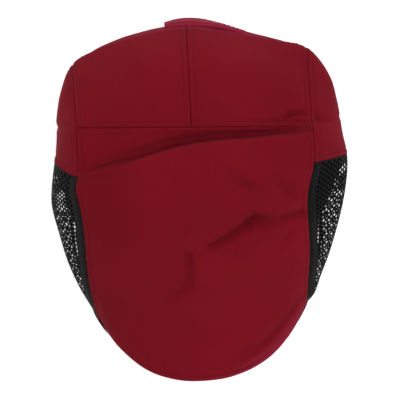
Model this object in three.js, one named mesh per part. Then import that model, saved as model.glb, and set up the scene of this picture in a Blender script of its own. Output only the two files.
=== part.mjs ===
// A soft flat cap with mesh sides, lying on its rim. Millimetres, +Z up, the visor points to -Y.
// The origin is the centre of the head opening, at the level that the rim rests on.
import * as THREE from 'three';

// Driving dimensions
const HEAD_LENGTH = 192;
const HEAD_WIDTH = 176;
const HEAD_SQUARENESS = 2.3;
const CROWN_HEIGHT = 84;
const BULGE_LEFT = 20;
const BULGE_RIGHT = 27;
const VISOR_LENGTH = 57;
const VISOR_SQUARENESS = 2.25;
const VISOR_RISE = 9;
const VISOR_WALL = 3;
const BAND_HEIGHT = 20;
const BAND_WALL = 2;
const BAND_LEAN = 5;
const CLOTH = 1.2;
const NET = 1.0;
const GAP = 0.3;
const HEM_LIFT = 2;
const STRAP_HEIGHT = 15;
const STRAP_WALL = 1.5;
const STRAP_FLARE = 3.4;
const STRAP_LIFT = 1;

// Places that follow from them
const HALF_WIDTH = HEAD_WIDTH / 2;
const HALF_LENGTH = HEAD_LENGTH / 2;
const VISOR_ROOT = -0.26 * HALF_LENGTH;
const VISOR_REACH = VISOR_ROOT + HALF_LENGTH + VISOR_LENGTH;
const VISOR_INSET = CLOTH + 2 * GAP;
const VISOR_LIFT = 1;
const EDGE_LIP = 2;

// The strip between the two side seams, a row for each section from the back hem to the visor's edge.
// Across is a share of half the head's width and up a share of the crown's height. Along is a share
// of half the head's length, and past -1 the rest is a share of the visor's length. Bow, on the left
// and right, and dome say how the section bends from its centre to the seams: 1 is straight, and more
// is flatter in the middle. The hem follows the headband and the edge follows the visor.
const STRIP = table(
  ['name', 'along', 'up', 'seamUp', 'dome',
    'leftBow', 'leftAcross', 'leftAlong', 'rightBow', 'rightAcross', 'rightAlong'],
  ['hem', 1.0, 0.024, 0.024, 2.0, 2.0, -0.76, 0.74, 2.0, 0.77, 0.73],
  ['roll', 1.018, 0.14, 0.21, 2.0, 2.1, -0.915, 0.77, 1.55, 0.94, 0.812],
  ['low', 0.955, 0.31, 0.4, 2.2, 2.1, -0.918, 0.645, 1.6, 0.948, 0.645],
  ['mid', 0.7, 0.62, 0.56, 2.6, 2.2, -0.915, 0.465, 2.0, 0.953, 0.465],
  ['seam', 0.264, 0.835, 0.68, 3.0, 1.0, -0.911, 0.302, 1.0, 0.958, 0.23],
  ['crease', 0.15, 0.83, 0.7, 3.0, 1.1, -0.917, 0.0, 1.6, 0.963, 0.206],
  ['lip', 0.115, 0.94, 0.725, 3.0, 1.1, -0.92, -0.043, 1.6, 0.963, 0.172],
  ['crown', -0.03, 1.0, 0.74, 2.6, 1.5, -0.943, -0.135, 1.8, 0.957, -0.04],
  ['top', -0.25, 0.985, 0.715, 2.5, 2.0, -0.915, -0.29, 2.0, 0.895, -0.27],
  ['fore', -0.545, 0.87, 0.62, 2.4, 2.1, -0.896, -0.47, 2.1, 0.889, -0.47],
  ['slope', -0.875, 0.66, 0.485, 2.3, 2.2, -0.892, -0.675, 2.2, 0.891, -0.675],
  ['fall', -1.39, 0.385, 0.335, 2.2, 2.3, -0.875, -0.875, 2.3, 0.87, -0.875],
  ['brim', -1.91, 0.205, 0.215, 2.2, 2.4, -0.85, -1.0, 2.4, 0.855, -1.0],
  ['edge', -2.0, 0.13, 0.13, 2.2, 2.4, -0.835, -1.14, 2.4, 0.845, -1.14],
);

// The sides below the seams, on the same sections. Belly is where a side stands out furthest, as a
// share of its bulge, and foot is where it meets the headband or the visor.
const SIDES = table(
  ['name', 'up', 'leftOut', 'leftAlong', 'leftFoot', 'rightOut', 'rightAlong', 'rightFoot'],
  ['hem', 0.024, 0.0, 0.68, 0.6, 0.0, 0.67, 0.6],
  ['roll', 0.18, 0.2, 0.7, 0.52, 0.23, 0.72, 0.52],
  ['low', 0.28, 0.485, 0.56, 0.44, 0.56, 0.58, 0.45],
  ['mid', 0.33, 0.665, 0.395, 0.33, 0.7, 0.405, 0.34],
  ['seam', 0.35, 0.72, 0.27, 0.21, 0.75, 0.27, 0.22],
  ['crease', 0.36, 0.79, 0.11, 0.12, 0.75, 0.21, 0.17],
  ['lip', 0.36, 0.82, 0.065, 0.09, 0.78, 0.155, 0.13],
  ['crown', 0.37, 0.85, -0.12, -0.1, 0.88, 0.016, 0.03],
  ['top', 0.36, 1.0, -0.25, -0.23, 1.0, -0.235, -0.21],
  ['fore', 0.31, 0.91, -0.44, -0.42, 0.83, -0.44, -0.42],
  ['slope', 0.25, 0.68, -0.655, -0.63, 0.58, -0.655, -0.63],
  ['fall', 0.19, 0.37, -0.855, -0.83, 0.35, -0.855, -0.83],
  ['brim', 0.15, 0.16, -0.99, -0.97, 0.2, -0.985, -0.97],
  ['edge', 0.12, 0.0, -1.14, -1.14, 0.0, -1.14, -1.14],
);

// Valleys pressed into the top panel, from one end to the other. Across is a share of half the head's
// width, along of half its length, depth and width of the crown's height.
const VALLEYS = table(
  ['name', 'fromAcross', 'fromAlong', 'toAcross', 'toAlong', 'depth', 'width'],
  ['slant', 0.08, -0.62, 0.46, -0.44, 0.032, 0.14],
  ['slant_end', 0.46, -0.44, 0.86, -0.42, 0.025, 0.13],
  ['hollow', -0.08, -0.64, -0.07, -0.92, 0.022, 0.14],
  ['brim_roll', 0.1, -1.38, 0.62, -1.12, 0.025, 0.14],
);

// Where the strap runs across the hem, counted as the places below, and how far its lower edge
// flares off the hem there, as a share of the flare.
const STRAP = table(
  ['place', 'flare'],
  [4.59, 0.45],
  [4.92, 0.95],
  [5.25, 0.95],
  [5.59, 0.4],
  [5.88, 0.05],
  [6.15, 0.0],
);

// Places across a section: foot, belly and seam of the left side, the strip, and the right side.
const STRIP_STEPS = [-1, -0.8, -0.45, 0, 0.45, 0.8, 1];
const LEFT_SEAM = 2;
const CENTRE = 5;
const RIGHT_SEAM = 8;
const RIGHT_FOOT = 10;

function table(columns, ...rows) {
  return rows.map((row) => Object.fromEntries(columns.map((column, i) => [column, row[i]])));
}

function section(name) {
  return STRIP.findIndex((row) => row.name === name);
}

function along(share) {
  if (share >= -1) {
    return share * HALF_LENGTH;
  }
  return -HALF_LENGTH + (share + 1) * VISOR_LENGTH;
}

// Half the width of a superellipse at a distance from its centre.
function halfWidthAt(distance, reach, width, squareness) {
  const share = Math.min(1, Math.abs(distance) / reach);
  return width * (1 - share ** squareness) ** (1 / squareness);
}

function rimAcross(y, offset) {
  return halfWidthAt(y, HALF_LENGTH + offset, HALF_WIDTH + offset, HEAD_SQUARENESS);
}

function rimAlong(x, offset) {
  return halfWidthAt(x, HALF_WIDTH + offset, HALF_LENGTH + offset, HEAD_SQUARENESS);
}

function visorAcross(y) {
  return halfWidthAt(VISOR_ROOT - y, VISOR_REACH, HALF_WIDTH, VISOR_SQUARENESS);
}

function visorAlong(x) {
  return VISOR_ROOT - halfWidthAt(x, HALF_WIDTH, VISOR_REACH, VISOR_SQUARENESS);
}

// Height of the visor's mid-thickness on its outer edge, lowest at its ends.
function visorEdgeUp(y) {
  const share = Math.max(0, (VISOR_ROOT - y) / VISOR_REACH);
  return VISOR_LIFT + VISOR_WALL / 2 + VISOR_RISE * share ** 0.9;
}

// The lower edge of a side, against the headband or along the visor.
function footPoint(side, y) {
  const offset = CLOTH + GAP;
  if (y > VISOR_ROOT) {
    return new THREE.Vector3(side * rimAcross(y, offset), y, HEM_LIFT);
  }
  return new THREE.Vector3(side * Math.max(visorAcross(y), rimAcross(y, offset)), y, visorEdgeUp(y));
}

// One point of the strip between the seams, at a share of the way from its centre to a seam.
function stripPoint(row, step) {
  const side = step < 0 ? 'left' : 'right';
  const share = Math.abs(step);
  const x = share * row[side + 'Across'] * HALF_WIDTH;
  if (row.name === 'hem') {
    return new THREE.Vector3(x, rimAlong(x, CLOTH + GAP), HEM_LIFT);
  }
  if (row.name === 'edge') {
    const y = visorAlong(x);
    return new THREE.Vector3(x, y, visorEdgeUp(y) + EDGE_LIP);
  }
  const y = THREE.MathUtils.lerp(along(row.along), along(row[side + 'Along']), share ** row[side + 'Bow']);
  const z = THREE.MathUtils.lerp(row.up, row.seamUp, share ** row.dome) * CROWN_HEIGHT;
  return new THREE.Vector3(x, y, z);
}

// The belly and foot of one side on a section, from its seam downwards.
function sidePoints(row, seamPoint, name) {
  const side = name === 'left' ? -1 : 1;
  const bulge = name === 'left' ? BULGE_LEFT : BULGE_RIGHT;
  if (row.name === 'hem') {
    return [row[name + 'Along'], row[name + 'Foot']].map((share) => footPoint(side, along(share)));
  }
  if (row.name === 'edge') {
    return [1, 2].map((n) => seamPoint.clone().add(new THREE.Vector3(0, 0, -n * EDGE_LIP)));
  }
  const belly = new THREE.Vector3(
    seamPoint.x + side * row[name + 'Out'] * bulge,
    along(row[name + 'Along']),
    row.up * CROWN_HEIGHT,
  );
  return [belly, footPoint(side, along(row[name + 'Foot']))];
}

function sectionPoints(index) {
  const strip = STRIP_STEPS.map((step) => stripPoint(STRIP[index], step));
  const left = sidePoints(SIDES[index], strip[0], 'left').reverse();
  const right = sidePoints(SIDES[index], strip[strip.length - 1], 'right');
  return [...left, ...strip, ...right];
}

function smooth(points) {
  return new THREE.CatmullRomCurve3(points, false, 'centripetal');
}

const SECTION_POINTS = STRIP.map((row, index) => sectionPoints(index));
const LINES = SECTION_POINTS[0].map((point, column) => smooth(SECTION_POINTS.map((points) => points[column])));
const LAST_SECTION = STRIP.length - 1;

function valleyDepth(x, y) {
  let depth = 0;
  for (const valley of VALLEYS) {
    const from = new THREE.Vector3(valley.fromAcross * HALF_WIDTH, along(valley.fromAlong), 0);
    const to = new THREE.Vector3(valley.toAcross * HALF_WIDTH, along(valley.toAlong), 0);
    const place = new THREE.Vector3(x, y, 0);
    const nearest = new THREE.Line3(from, to).closestPointToPoint(place, true, new THREE.Vector3());
    const share = nearest.distanceTo(place) / (valley.width * CROWN_HEIGHT);
    depth += valley.depth * CROWN_HEIGHT * Math.exp(-share * share);
  }
  return depth;
}

const crossCurves = new Map();

// The curve across the cap at a section, kept once it is made.
function crossCurve(sectionAt) {
  if (!crossCurves.has(sectionAt)) {
    const share = THREE.MathUtils.clamp(sectionAt / LAST_SECTION, 0, 1);
    crossCurves.set(sectionAt, smooth(LINES.map((line) => line.getPoint(share))));
  }
  return crossCurves.get(sectionAt);
}

// The crown's outer surface. Section counts the rows of the tables, place the points across them.
function crown(sectionAt, place) {
  const point = crossCurve(sectionAt).getPoint(THREE.MathUtils.clamp(place / RIGHT_FOOT, 0, 1));
  if (sectionAt > section('seam') && place > LEFT_SEAM && place < RIGHT_SEAM) {
    const fromCentre = Math.abs(place - CENTRE) / (CENTRE - LEFT_SEAM);
    point.z -= valleyDepth(point.x, point.y) * (1 - fromCentre ** 4);
  }
  return point;
}

const STEP = 0.01;

function slopes(sectionAt, place) {
  const back = Math.max(0, sectionAt - STEP);
  const front = Math.min(LAST_SECTION, sectionAt + STEP);
  const left = Math.max(0, place - STEP);
  const right = Math.min(RIGHT_FOOT, place + STEP);
  return {
    forward: crown(front, place).sub(crown(back, place)).divideScalar(front - back),
    sideways: crown(sectionAt, right).sub(crown(sectionAt, left)).divideScalar(right - left),
  };
}

function outward(sectionAt, place) {
  const { forward, sideways } = slopes(sectionAt, place);
  return forward.cross(sideways).normalize();
}

// Evenly spaced values that also stop at each whole number on the way.
function stepsBetween(from, to, perUnit) {
  const stops = [from];
  for (let whole = Math.floor(from) + 1; whole < to; whole += 1) {
    stops.push(whole);
  }
  stops.push(to);
  const values = [from];
  for (let i = 1; i < stops.length; i += 1) {
    const count = Math.max(1, Math.round((stops[i] - stops[i - 1]) * perUnit));
    for (let n = 1; n <= count; n += 1) {
      values.push(THREE.MathUtils.lerp(stops[i - 1], stops[i], n / count));
    }
  }
  return values;
}

// A closed wall between two grids of points, the outer one seen from outside.
function wall(outer, inner) {
  const rows = outer.length;
  const columns = outer[0].length;
  const positions = [];
  for (const grid of [outer, inner]) {
    for (const row of grid) {
      for (const point of row) {
        positions.push(point.x, point.y, point.z);
      }
    }
  }
  const at = (skin, row, column) => (skin * rows + row) * columns + column;
  const faces = [];
  const quad = (a, b, c, d) => faces.push(a, b, c, a, c, d);
  for (let i = 0; i + 1 < rows; i += 1) {
    for (let j = 0; j + 1 < columns; j += 1) {
      quad(at(0, i, j), at(0, i + 1, j), at(0, i + 1, j + 1), at(0, i, j + 1));
      quad(at(1, i, j), at(1, i, j + 1), at(1, i + 1, j + 1), at(1, i + 1, j));
    }
  }
  for (let i = 0; i + 1 < rows; i += 1) {
    quad(at(0, i, 0), at(1, i, 0), at(1, i + 1, 0), at(0, i + 1, 0));
    quad(at(0, i + 1, columns - 1), at(1, i + 1, columns - 1), at(1, i, columns - 1), at(0, i, columns - 1));
  }
  for (let j = 0; j + 1 < columns; j += 1) {
    quad(at(0, 0, j + 1), at(1, 0, j + 1), at(1, 0, j), at(0, 0, j));
    quad(at(0, rows - 1, j), at(1, rows - 1, j), at(1, rows - 1, j + 1), at(0, rows - 1, j + 1));
  }
  const geometry = new THREE.BufferGeometry();
  geometry.setAttribute('position', new THREE.Float32BufferAttribute(positions, 3));
  geometry.setIndex(faces);
  geometry.computeVertexNormals();
  return geometry;
}

// A panel of the crown, held half a gap clear of each seam round it.
function panel(fromSection, toSection, fromPlace, toPlace, thickness, sectionSteps, placeSteps) {
  const half = GAP / 2;
  const most = 0.3;
  const sections = stepsBetween(fromSection, toSection, sectionSteps);
  const places = stepsBetween(fromPlace, toPlace, placeSteps);
  const nextSection = sections[1] - sections[0];
  const lastSection = sections[sections.length - 1] - sections[sections.length - 2];
  const nextPlace = places[1] - places[0];
  const lastPlace = places[places.length - 1] - places[places.length - 2];
  const outer = [];
  const inner = [];
  sections.forEach((sectionAt, i) => {
    const outerRow = [];
    const innerRow = [];
    places.forEach((place, j) => {
      let u = sectionAt;
      let v = place;
      const { forward, sideways } = slopes(sectionAt, place);
      if (i === 0 && fromSection > 0) {
        u += Math.min(half / forward.length(), most * nextSection);
      }
      if (i === sections.length - 1 && toSection < LAST_SECTION) {
        u -= Math.min(half / forward.length(), most * lastSection);
      }
      if (j === 0 && fromPlace > 0) {
        v += Math.min(half / sideways.length(), most * nextPlace);
      }
      if (j === places.length - 1 && toPlace < RIGHT_FOOT) {
        v -= Math.min(half / sideways.length(), most * lastPlace);
      }
      const point = crown(u, v);
      outerRow.push(point);
      innerRow.push(point.clone().addScaledVector(outward(u, v), -thickness));
    });
    outer.push(outerRow);
    inner.push(innerRow);
  });
  return wall(outer, inner);
}

function rimPoint(turn, offset, up) {
  const power = 2 / HEAD_SQUARENESS;
  const c = Math.cos(turn);
  const s = Math.sin(turn);
  const x = (HALF_WIDTH + offset) * Math.sign(c) * Math.abs(c) ** power;
  const y = (HALF_LENGTH + offset) * Math.sign(s) * Math.abs(s) ** power;
  return new THREE.Vector3(x, y, up);
}

// The headband: one ring with a four-cornered section that leans inwards and stands flat.
function headbandGeometry() {
  const steps = 96;
  const corners = [[0, 0], [-BAND_LEAN, BAND_HEIGHT], [-BAND_LEAN - BAND_WALL, BAND_HEIGHT], [-BAND_WALL, 0]];
  const positions = [];
  for (let i = 0; i < steps; i += 1) {
    for (const [offset, up] of corners) {
      const point = rimPoint((2 * Math.PI * i) / steps, offset, up);
      positions.push(point.x, point.y, point.z);
    }
  }
  const faces = [];
  for (let i = 0; i < steps; i += 1) {
    const here = i * corners.length;
    const next = ((i + 1) % steps) * corners.length;
    for (let k = 0; k < corners.length; k += 1) {
      const up = (k + 1) % corners.length;
      faces.push(here + k, next + k, next + up, here + k, next + up, here + up);
    }
  }
  const geometry = new THREE.BufferGeometry();
  geometry.setAttribute('position', new THREE.Float32BufferAttribute(positions, 3));
  geometry.setIndex(faces);
  geometry.computeVertexNormals();
  return geometry;
}

// The visor: a crescent between the front of the headband and the edge of the top panel.
function visorGeometry() {
  const steps = 44;
  const widthSteps = 5;
  const halfTurn = THREE.MathUtils.degToRad(83);
  const innerTurn = THREE.MathUtils.degToRad(71);
  const rimPower = 2 / HEAD_SQUARENESS;
  const edgePower = 2 / VISOR_SQUARENESS;
  const top = [];
  const bottom = [];
  for (let i = 0; i <= steps; i += 1) {
    const share = (2 * i) / steps - 1;
    const sign = Math.sign(share);
    const outerTurn = Math.abs(share) * halfTurn;
    const rimTurn = Math.abs(share) * innerTurn;
    const edge = new THREE.Vector3(
      sign * (HALF_WIDTH - VISOR_INSET) * Math.sin(outerTurn) ** edgePower,
      VISOR_ROOT - (VISOR_REACH - VISOR_INSET) * Math.cos(outerTurn) ** edgePower,
      0,
    );
    const rim = new THREE.Vector3(
      sign * (HALF_WIDTH + GAP) * Math.sin(rimTurn) ** rimPower,
      -(HALF_LENGTH + GAP) * Math.cos(rimTurn) ** rimPower,
      0,
    );
    const edgeUp = visorEdgeUp(edge.y) - VISOR_WALL / 2;
    const topRow = [];
    const bottomRow = [];
    for (let j = 0; j <= widthSteps; j += 1) {
      const out = j / widthSteps;
      const point = new THREE.Vector3().lerpVectors(rim, edge, out);
      point.z = THREE.MathUtils.lerp(VISOR_LIFT, edgeUp, out ** 1.3);
      bottomRow.push(point);
      topRow.push(point.clone().setZ(point.z + VISOR_WALL));
    }
    top.push(topRow);
    bottom.push(bottomRow);
  }
  return wall(top.reverse(), bottom.reverse());
}

// Places between the hem's section and the roll's, where the cloth behind the strap may stand out furthest
const HEM_TO_ROLL = [0, 0.25, 0.5, 0.75];

// The strap behind the centre back: a strip that hugs the hem along its top and flares out below.
function strapGeometry() {
  const steps = 16;
  const run = new THREE.SplineCurve(STRAP.map((row) => new THREE.Vector2(row.place, row.flare)));
  const outer = [];
  const inner = [];
  for (let i = 0; i <= steps; i += 1) {
    const { x: place, y: share } = run.getPoint(i / steps);
    const roll = crown(section('roll'), place);
    const away = outward(section('roll'), place).setZ(0).normalize();
    const bulges = HEM_TO_ROLL.map((at) => crown(at, place).sub(roll).dot(away));
    const proud = Math.max(0, ...bulges);
    const hem = roll.addScaledVector(away, proud);
    const flare = Math.max(0, share) * STRAP_FLARE;
    const lower = hem.clone().addScaledVector(away, GAP + flare).setZ(STRAP_LIFT);
    const upper = hem.clone().addScaledVector(away, GAP).setZ(STRAP_LIFT + STRAP_HEIGHT);
    inner.push([lower, upper]);
    outer.push([lower, upper].map((point) => point.clone().addScaledVector(away, STRAP_WALL)));
  }
  return wall(outer.reverse(), inner.reverse());
}

const cap = new THREE.Group();

function add(name, geometry, color, roughness) {
  const mesh = new THREE.Mesh(geometry, new THREE.MeshStandardMaterial({ color, roughness, metalness: 0 }));
  mesh.name = name;
  cap.add(mesh);
}

const TWILL = 0x7a1020;
const BLACK_NET = 0x1a1c1c;

const BACK = section('seam');
const SIDE_EDGES = { left: section('lip'), right: section('crown') };

add('top_panel', panel(BACK, LAST_SECTION, LEFT_SEAM, RIGHT_SEAM, CLOTH, 3.6, 4), TWILL, 0.85);
add('back_panel_left', panel(0, BACK, LEFT_SEAM, CENTRE, CLOTH, 3, 4), TWILL, 0.85);
add('back_panel_right', panel(0, BACK, CENTRE, RIGHT_SEAM, CLOTH, 3, 4), TWILL, 0.85);
add('side_band_left', panel(0, SIDE_EDGES.left, 0, LEFT_SEAM, CLOTH, 2.5, 4), TWILL, 0.85);
add('side_band_right', panel(0, SIDE_EDGES.right, RIGHT_SEAM, RIGHT_FOOT, CLOTH, 2.5, 4), TWILL, 0.85);
add('mesh_left', panel(SIDE_EDGES.left, LAST_SECTION, 0, LEFT_SEAM, NET, 3, 4), BLACK_NET, 0.7);
add('mesh_right', panel(SIDE_EDGES.right, LAST_SECTION, RIGHT_SEAM, RIGHT_FOOT, NET, 3, 4), BLACK_NET, 0.7);
add('visor', visorGeometry(), TWILL, 0.85);
add('headband', headbandGeometry(), TWILL, 0.85);
add('back_strap', strapGeometry(), TWILL, 0.85);

export default cap;
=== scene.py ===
"""A burgundy twill flat cap with black mesh sides, lying on its rim under soft studio light.

Every panel lies on one shared surface, the crown, which is worked out from two short tables of
sections. Lengths in the tables are shares of the sizes named above them. Shapes are worked out in
millimetres, +Z up with the visor towards -Y, and become metres when a mesh is made.
"""
import math

import bpy
import numpy as np
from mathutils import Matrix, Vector


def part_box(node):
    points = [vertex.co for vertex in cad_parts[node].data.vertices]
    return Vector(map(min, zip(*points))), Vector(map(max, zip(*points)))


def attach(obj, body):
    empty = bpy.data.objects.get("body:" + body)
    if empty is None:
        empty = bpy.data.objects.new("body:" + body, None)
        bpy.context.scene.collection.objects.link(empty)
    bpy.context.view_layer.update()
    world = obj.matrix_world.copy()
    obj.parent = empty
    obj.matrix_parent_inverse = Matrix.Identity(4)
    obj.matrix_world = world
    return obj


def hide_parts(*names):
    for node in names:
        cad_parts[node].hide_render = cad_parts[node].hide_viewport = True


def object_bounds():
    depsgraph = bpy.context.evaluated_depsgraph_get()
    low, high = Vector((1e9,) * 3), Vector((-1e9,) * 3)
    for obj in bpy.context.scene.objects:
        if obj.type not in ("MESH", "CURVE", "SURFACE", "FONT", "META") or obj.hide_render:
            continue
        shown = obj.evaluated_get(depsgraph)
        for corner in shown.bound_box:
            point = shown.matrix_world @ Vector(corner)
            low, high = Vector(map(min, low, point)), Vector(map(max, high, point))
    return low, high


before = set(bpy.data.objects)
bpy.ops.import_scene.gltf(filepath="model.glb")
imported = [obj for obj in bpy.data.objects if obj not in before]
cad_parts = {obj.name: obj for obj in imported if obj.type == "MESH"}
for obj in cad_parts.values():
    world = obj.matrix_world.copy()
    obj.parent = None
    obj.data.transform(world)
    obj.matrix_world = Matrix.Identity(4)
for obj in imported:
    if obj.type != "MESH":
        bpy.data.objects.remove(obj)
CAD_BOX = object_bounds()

bl_info = {
    "name": "Mesh-sided flat cap",
    "version": (1, 0, 0),
    "blender": (4, 5, 0),
    "location": "View3D > Sidebar > Cap",
    "description": "Builds a soft flat cap with cloth panels, open mesh sides, stitching and a stage",
    "category": "Object",
}

MM = 0.001

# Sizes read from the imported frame, in millimetres
HALF_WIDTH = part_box("headband")[1][0] / MM
HALF_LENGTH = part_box("headband")[1][1] / MM
BAND_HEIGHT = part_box("headband")[1][2] / MM
VISOR_LENGTH = -CAD_BOX[0][1] / MM - HALF_LENGTH

# Sizes shared with the solid parts, in millimetres
HEAD_SQUARENESS = 2.3
VISOR_SQUARENESS = 2.25
CROWN_HEIGHT = 84.0
BULGE = {"left": 20.0, "right": 27.0}
VISOR_RISE = 9.0
VISOR_WALL = 3.0
VISOR_LIFT = 1.0
BAND_WALL = 2.0
BAND_LEAN = 5.0
CLOTH = 1.2
GAP = 0.3
HEM_LIFT = 2.0
EDGE_LIP = 2.0
STRAP_HEIGHT = 15.0
STRAP_WALL = 1.5
STRAP_FLARE = 3.4
STRAP_LIFT = 1.0

VISOR_ROOT = -0.26 * HALF_LENGTH
VISOR_REACH = VISOR_ROOT + HALF_LENGTH + VISOR_LENGTH
VISOR_INSET = CLOTH + 2 * GAP

# Places across a section
LEFT_FOOT = 0
LEFT_SEAM = 2
CENTRE = 5
RIGHT_SEAM = 8
RIGHT_FOOT = 10
STRIP_STEPS = (-1, -0.8, -0.45, 0, 0.45, 0.8, 1)


def table(columns, *rows):
    """Rows of values under their column names."""
    return [dict(zip(columns.split(), row)) for row in rows]


STRIP = table(
    "name along up seam_up dome left_bow left_across left_along right_bow right_across right_along",
    ("hem", 1.0, 0.024, 0.024, 2.0, 2.0, -0.76, 0.74, 2.0, 0.77, 0.73),
    ("roll", 1.018, 0.14, 0.21, 2.0, 2.1, -0.915, 0.77, 1.32, 0.94, 0.808),
    ("low", 0.955, 0.31, 0.4, 2.2, 2.1, -0.918, 0.645, 1.6, 0.948, 0.645),
    ("mid", 0.7, 0.62, 0.56, 2.6, 2.2, -0.915, 0.465, 2.0, 0.953, 0.465),
    ("seam", 0.264, 0.835, 0.68, 3.0, 1.0, -0.911, 0.302, 1.0, 0.958, 0.23),
    ("crease", 0.182, 0.83, 0.7, 3.0, 1.25, -0.917, -0.007, 1.6, 0.963, 0.216),
    ("lip", 0.147, 0.94, 0.725, 3.0, 1.25, -0.92, -0.05, 1.6, 0.963, 0.182),
    ("crown", -0.03, 1.0, 0.74, 2.6, 1.5, -0.943, -0.135, 1.8, 0.957, -0.04),
    ("top", -0.25, 0.985, 0.715, 2.5, 2.0, -0.915, -0.29, 2.0, 0.895, -0.27),
    ("fore", -0.545, 0.87, 0.62, 2.4, 2.1, -0.896, -0.47, 2.1, 0.889, -0.47),
    ("slope", -0.875, 0.66, 0.485, 2.3, 2.2, -0.892, -0.675, 2.2, 0.891, -0.675),
    ("fall", -1.39, 0.385, 0.335, 2.2, 2.3, -0.875, -0.875, 2.3, 0.87, -0.875),
    ("brim", -1.91, 0.205, 0.215, 2.2, 2.4, -0.85, -1.0, 2.4, 0.855, -1.0),
    ("edge", -2.0, 0.13, 0.13, 2.2, 2.4, -0.835, -1.14, 2.4, 0.845, -1.14),
)

SIDES = table(
    "name up left_out left_along left_foot right_out right_along right_foot",
    ("hem", 0.024, 0.0, 0.68, 0.6, 0.0, 0.67, 0.6),
    ("roll", 0.18, 0.2, 0.7, 0.52, 0.23, 0.72, 0.52),
    ("low", 0.28, 0.485, 0.56, 0.44, 0.56, 0.58, 0.45),
    ("mid", 0.33, 0.665, 0.395, 0.33, 0.7, 0.405, 0.34),
    ("seam", 0.35, 0.72, 0.27, 0.21, 0.75, 0.27, 0.22),
    ("crease", 0.36, 0.79, 0.11, 0.12, 0.75, 0.21, 0.17),
    ("lip", 0.36, 0.82, 0.065, 0.09, 0.78, 0.155, 0.13),
    ("crown", 0.37, 0.85, -0.12, -0.1, 0.88, 0.016, 0.03),
    ("top", 0.36, 1.0, -0.25, -0.23, 1.0, -0.235, -0.21),
    ("fore", 0.31, 0.91, -0.44, -0.42, 0.83, -0.44, -0.42),
    ("slope", 0.25, 0.68, -0.655, -0.63, 0.58, -0.655, -0.63),
    ("fall", 0.19, 0.37, -0.855, -0.83, 0.35, -0.855, -0.83),
    ("brim", 0.15, 0.16, -0.99, -0.97, 0.2, -0.985, -0.97),
    ("edge", 0.12, 0.0, -1.14, -1.14, 0.0, -1.14, -1.14),
)

# Wide soft valleys of the top panel, as in the solid parts
VALLEYS = table(
    "name from_across from_along to_across to_along depth width",
    ("slant", 0.08, -0.62, 0.46, -0.44, 0.032, 0.14),
    ("slant_end", 0.46, -0.44, 0.86, -0.42, 0.025, 0.13),
    ("hollow", -0.08, -0.64, -0.07, -0.92, 0.022, 0.14),
    ("brim_roll", 0.1, -1.38, 0.62, -1.12, 0.025, 0.14),
)

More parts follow.
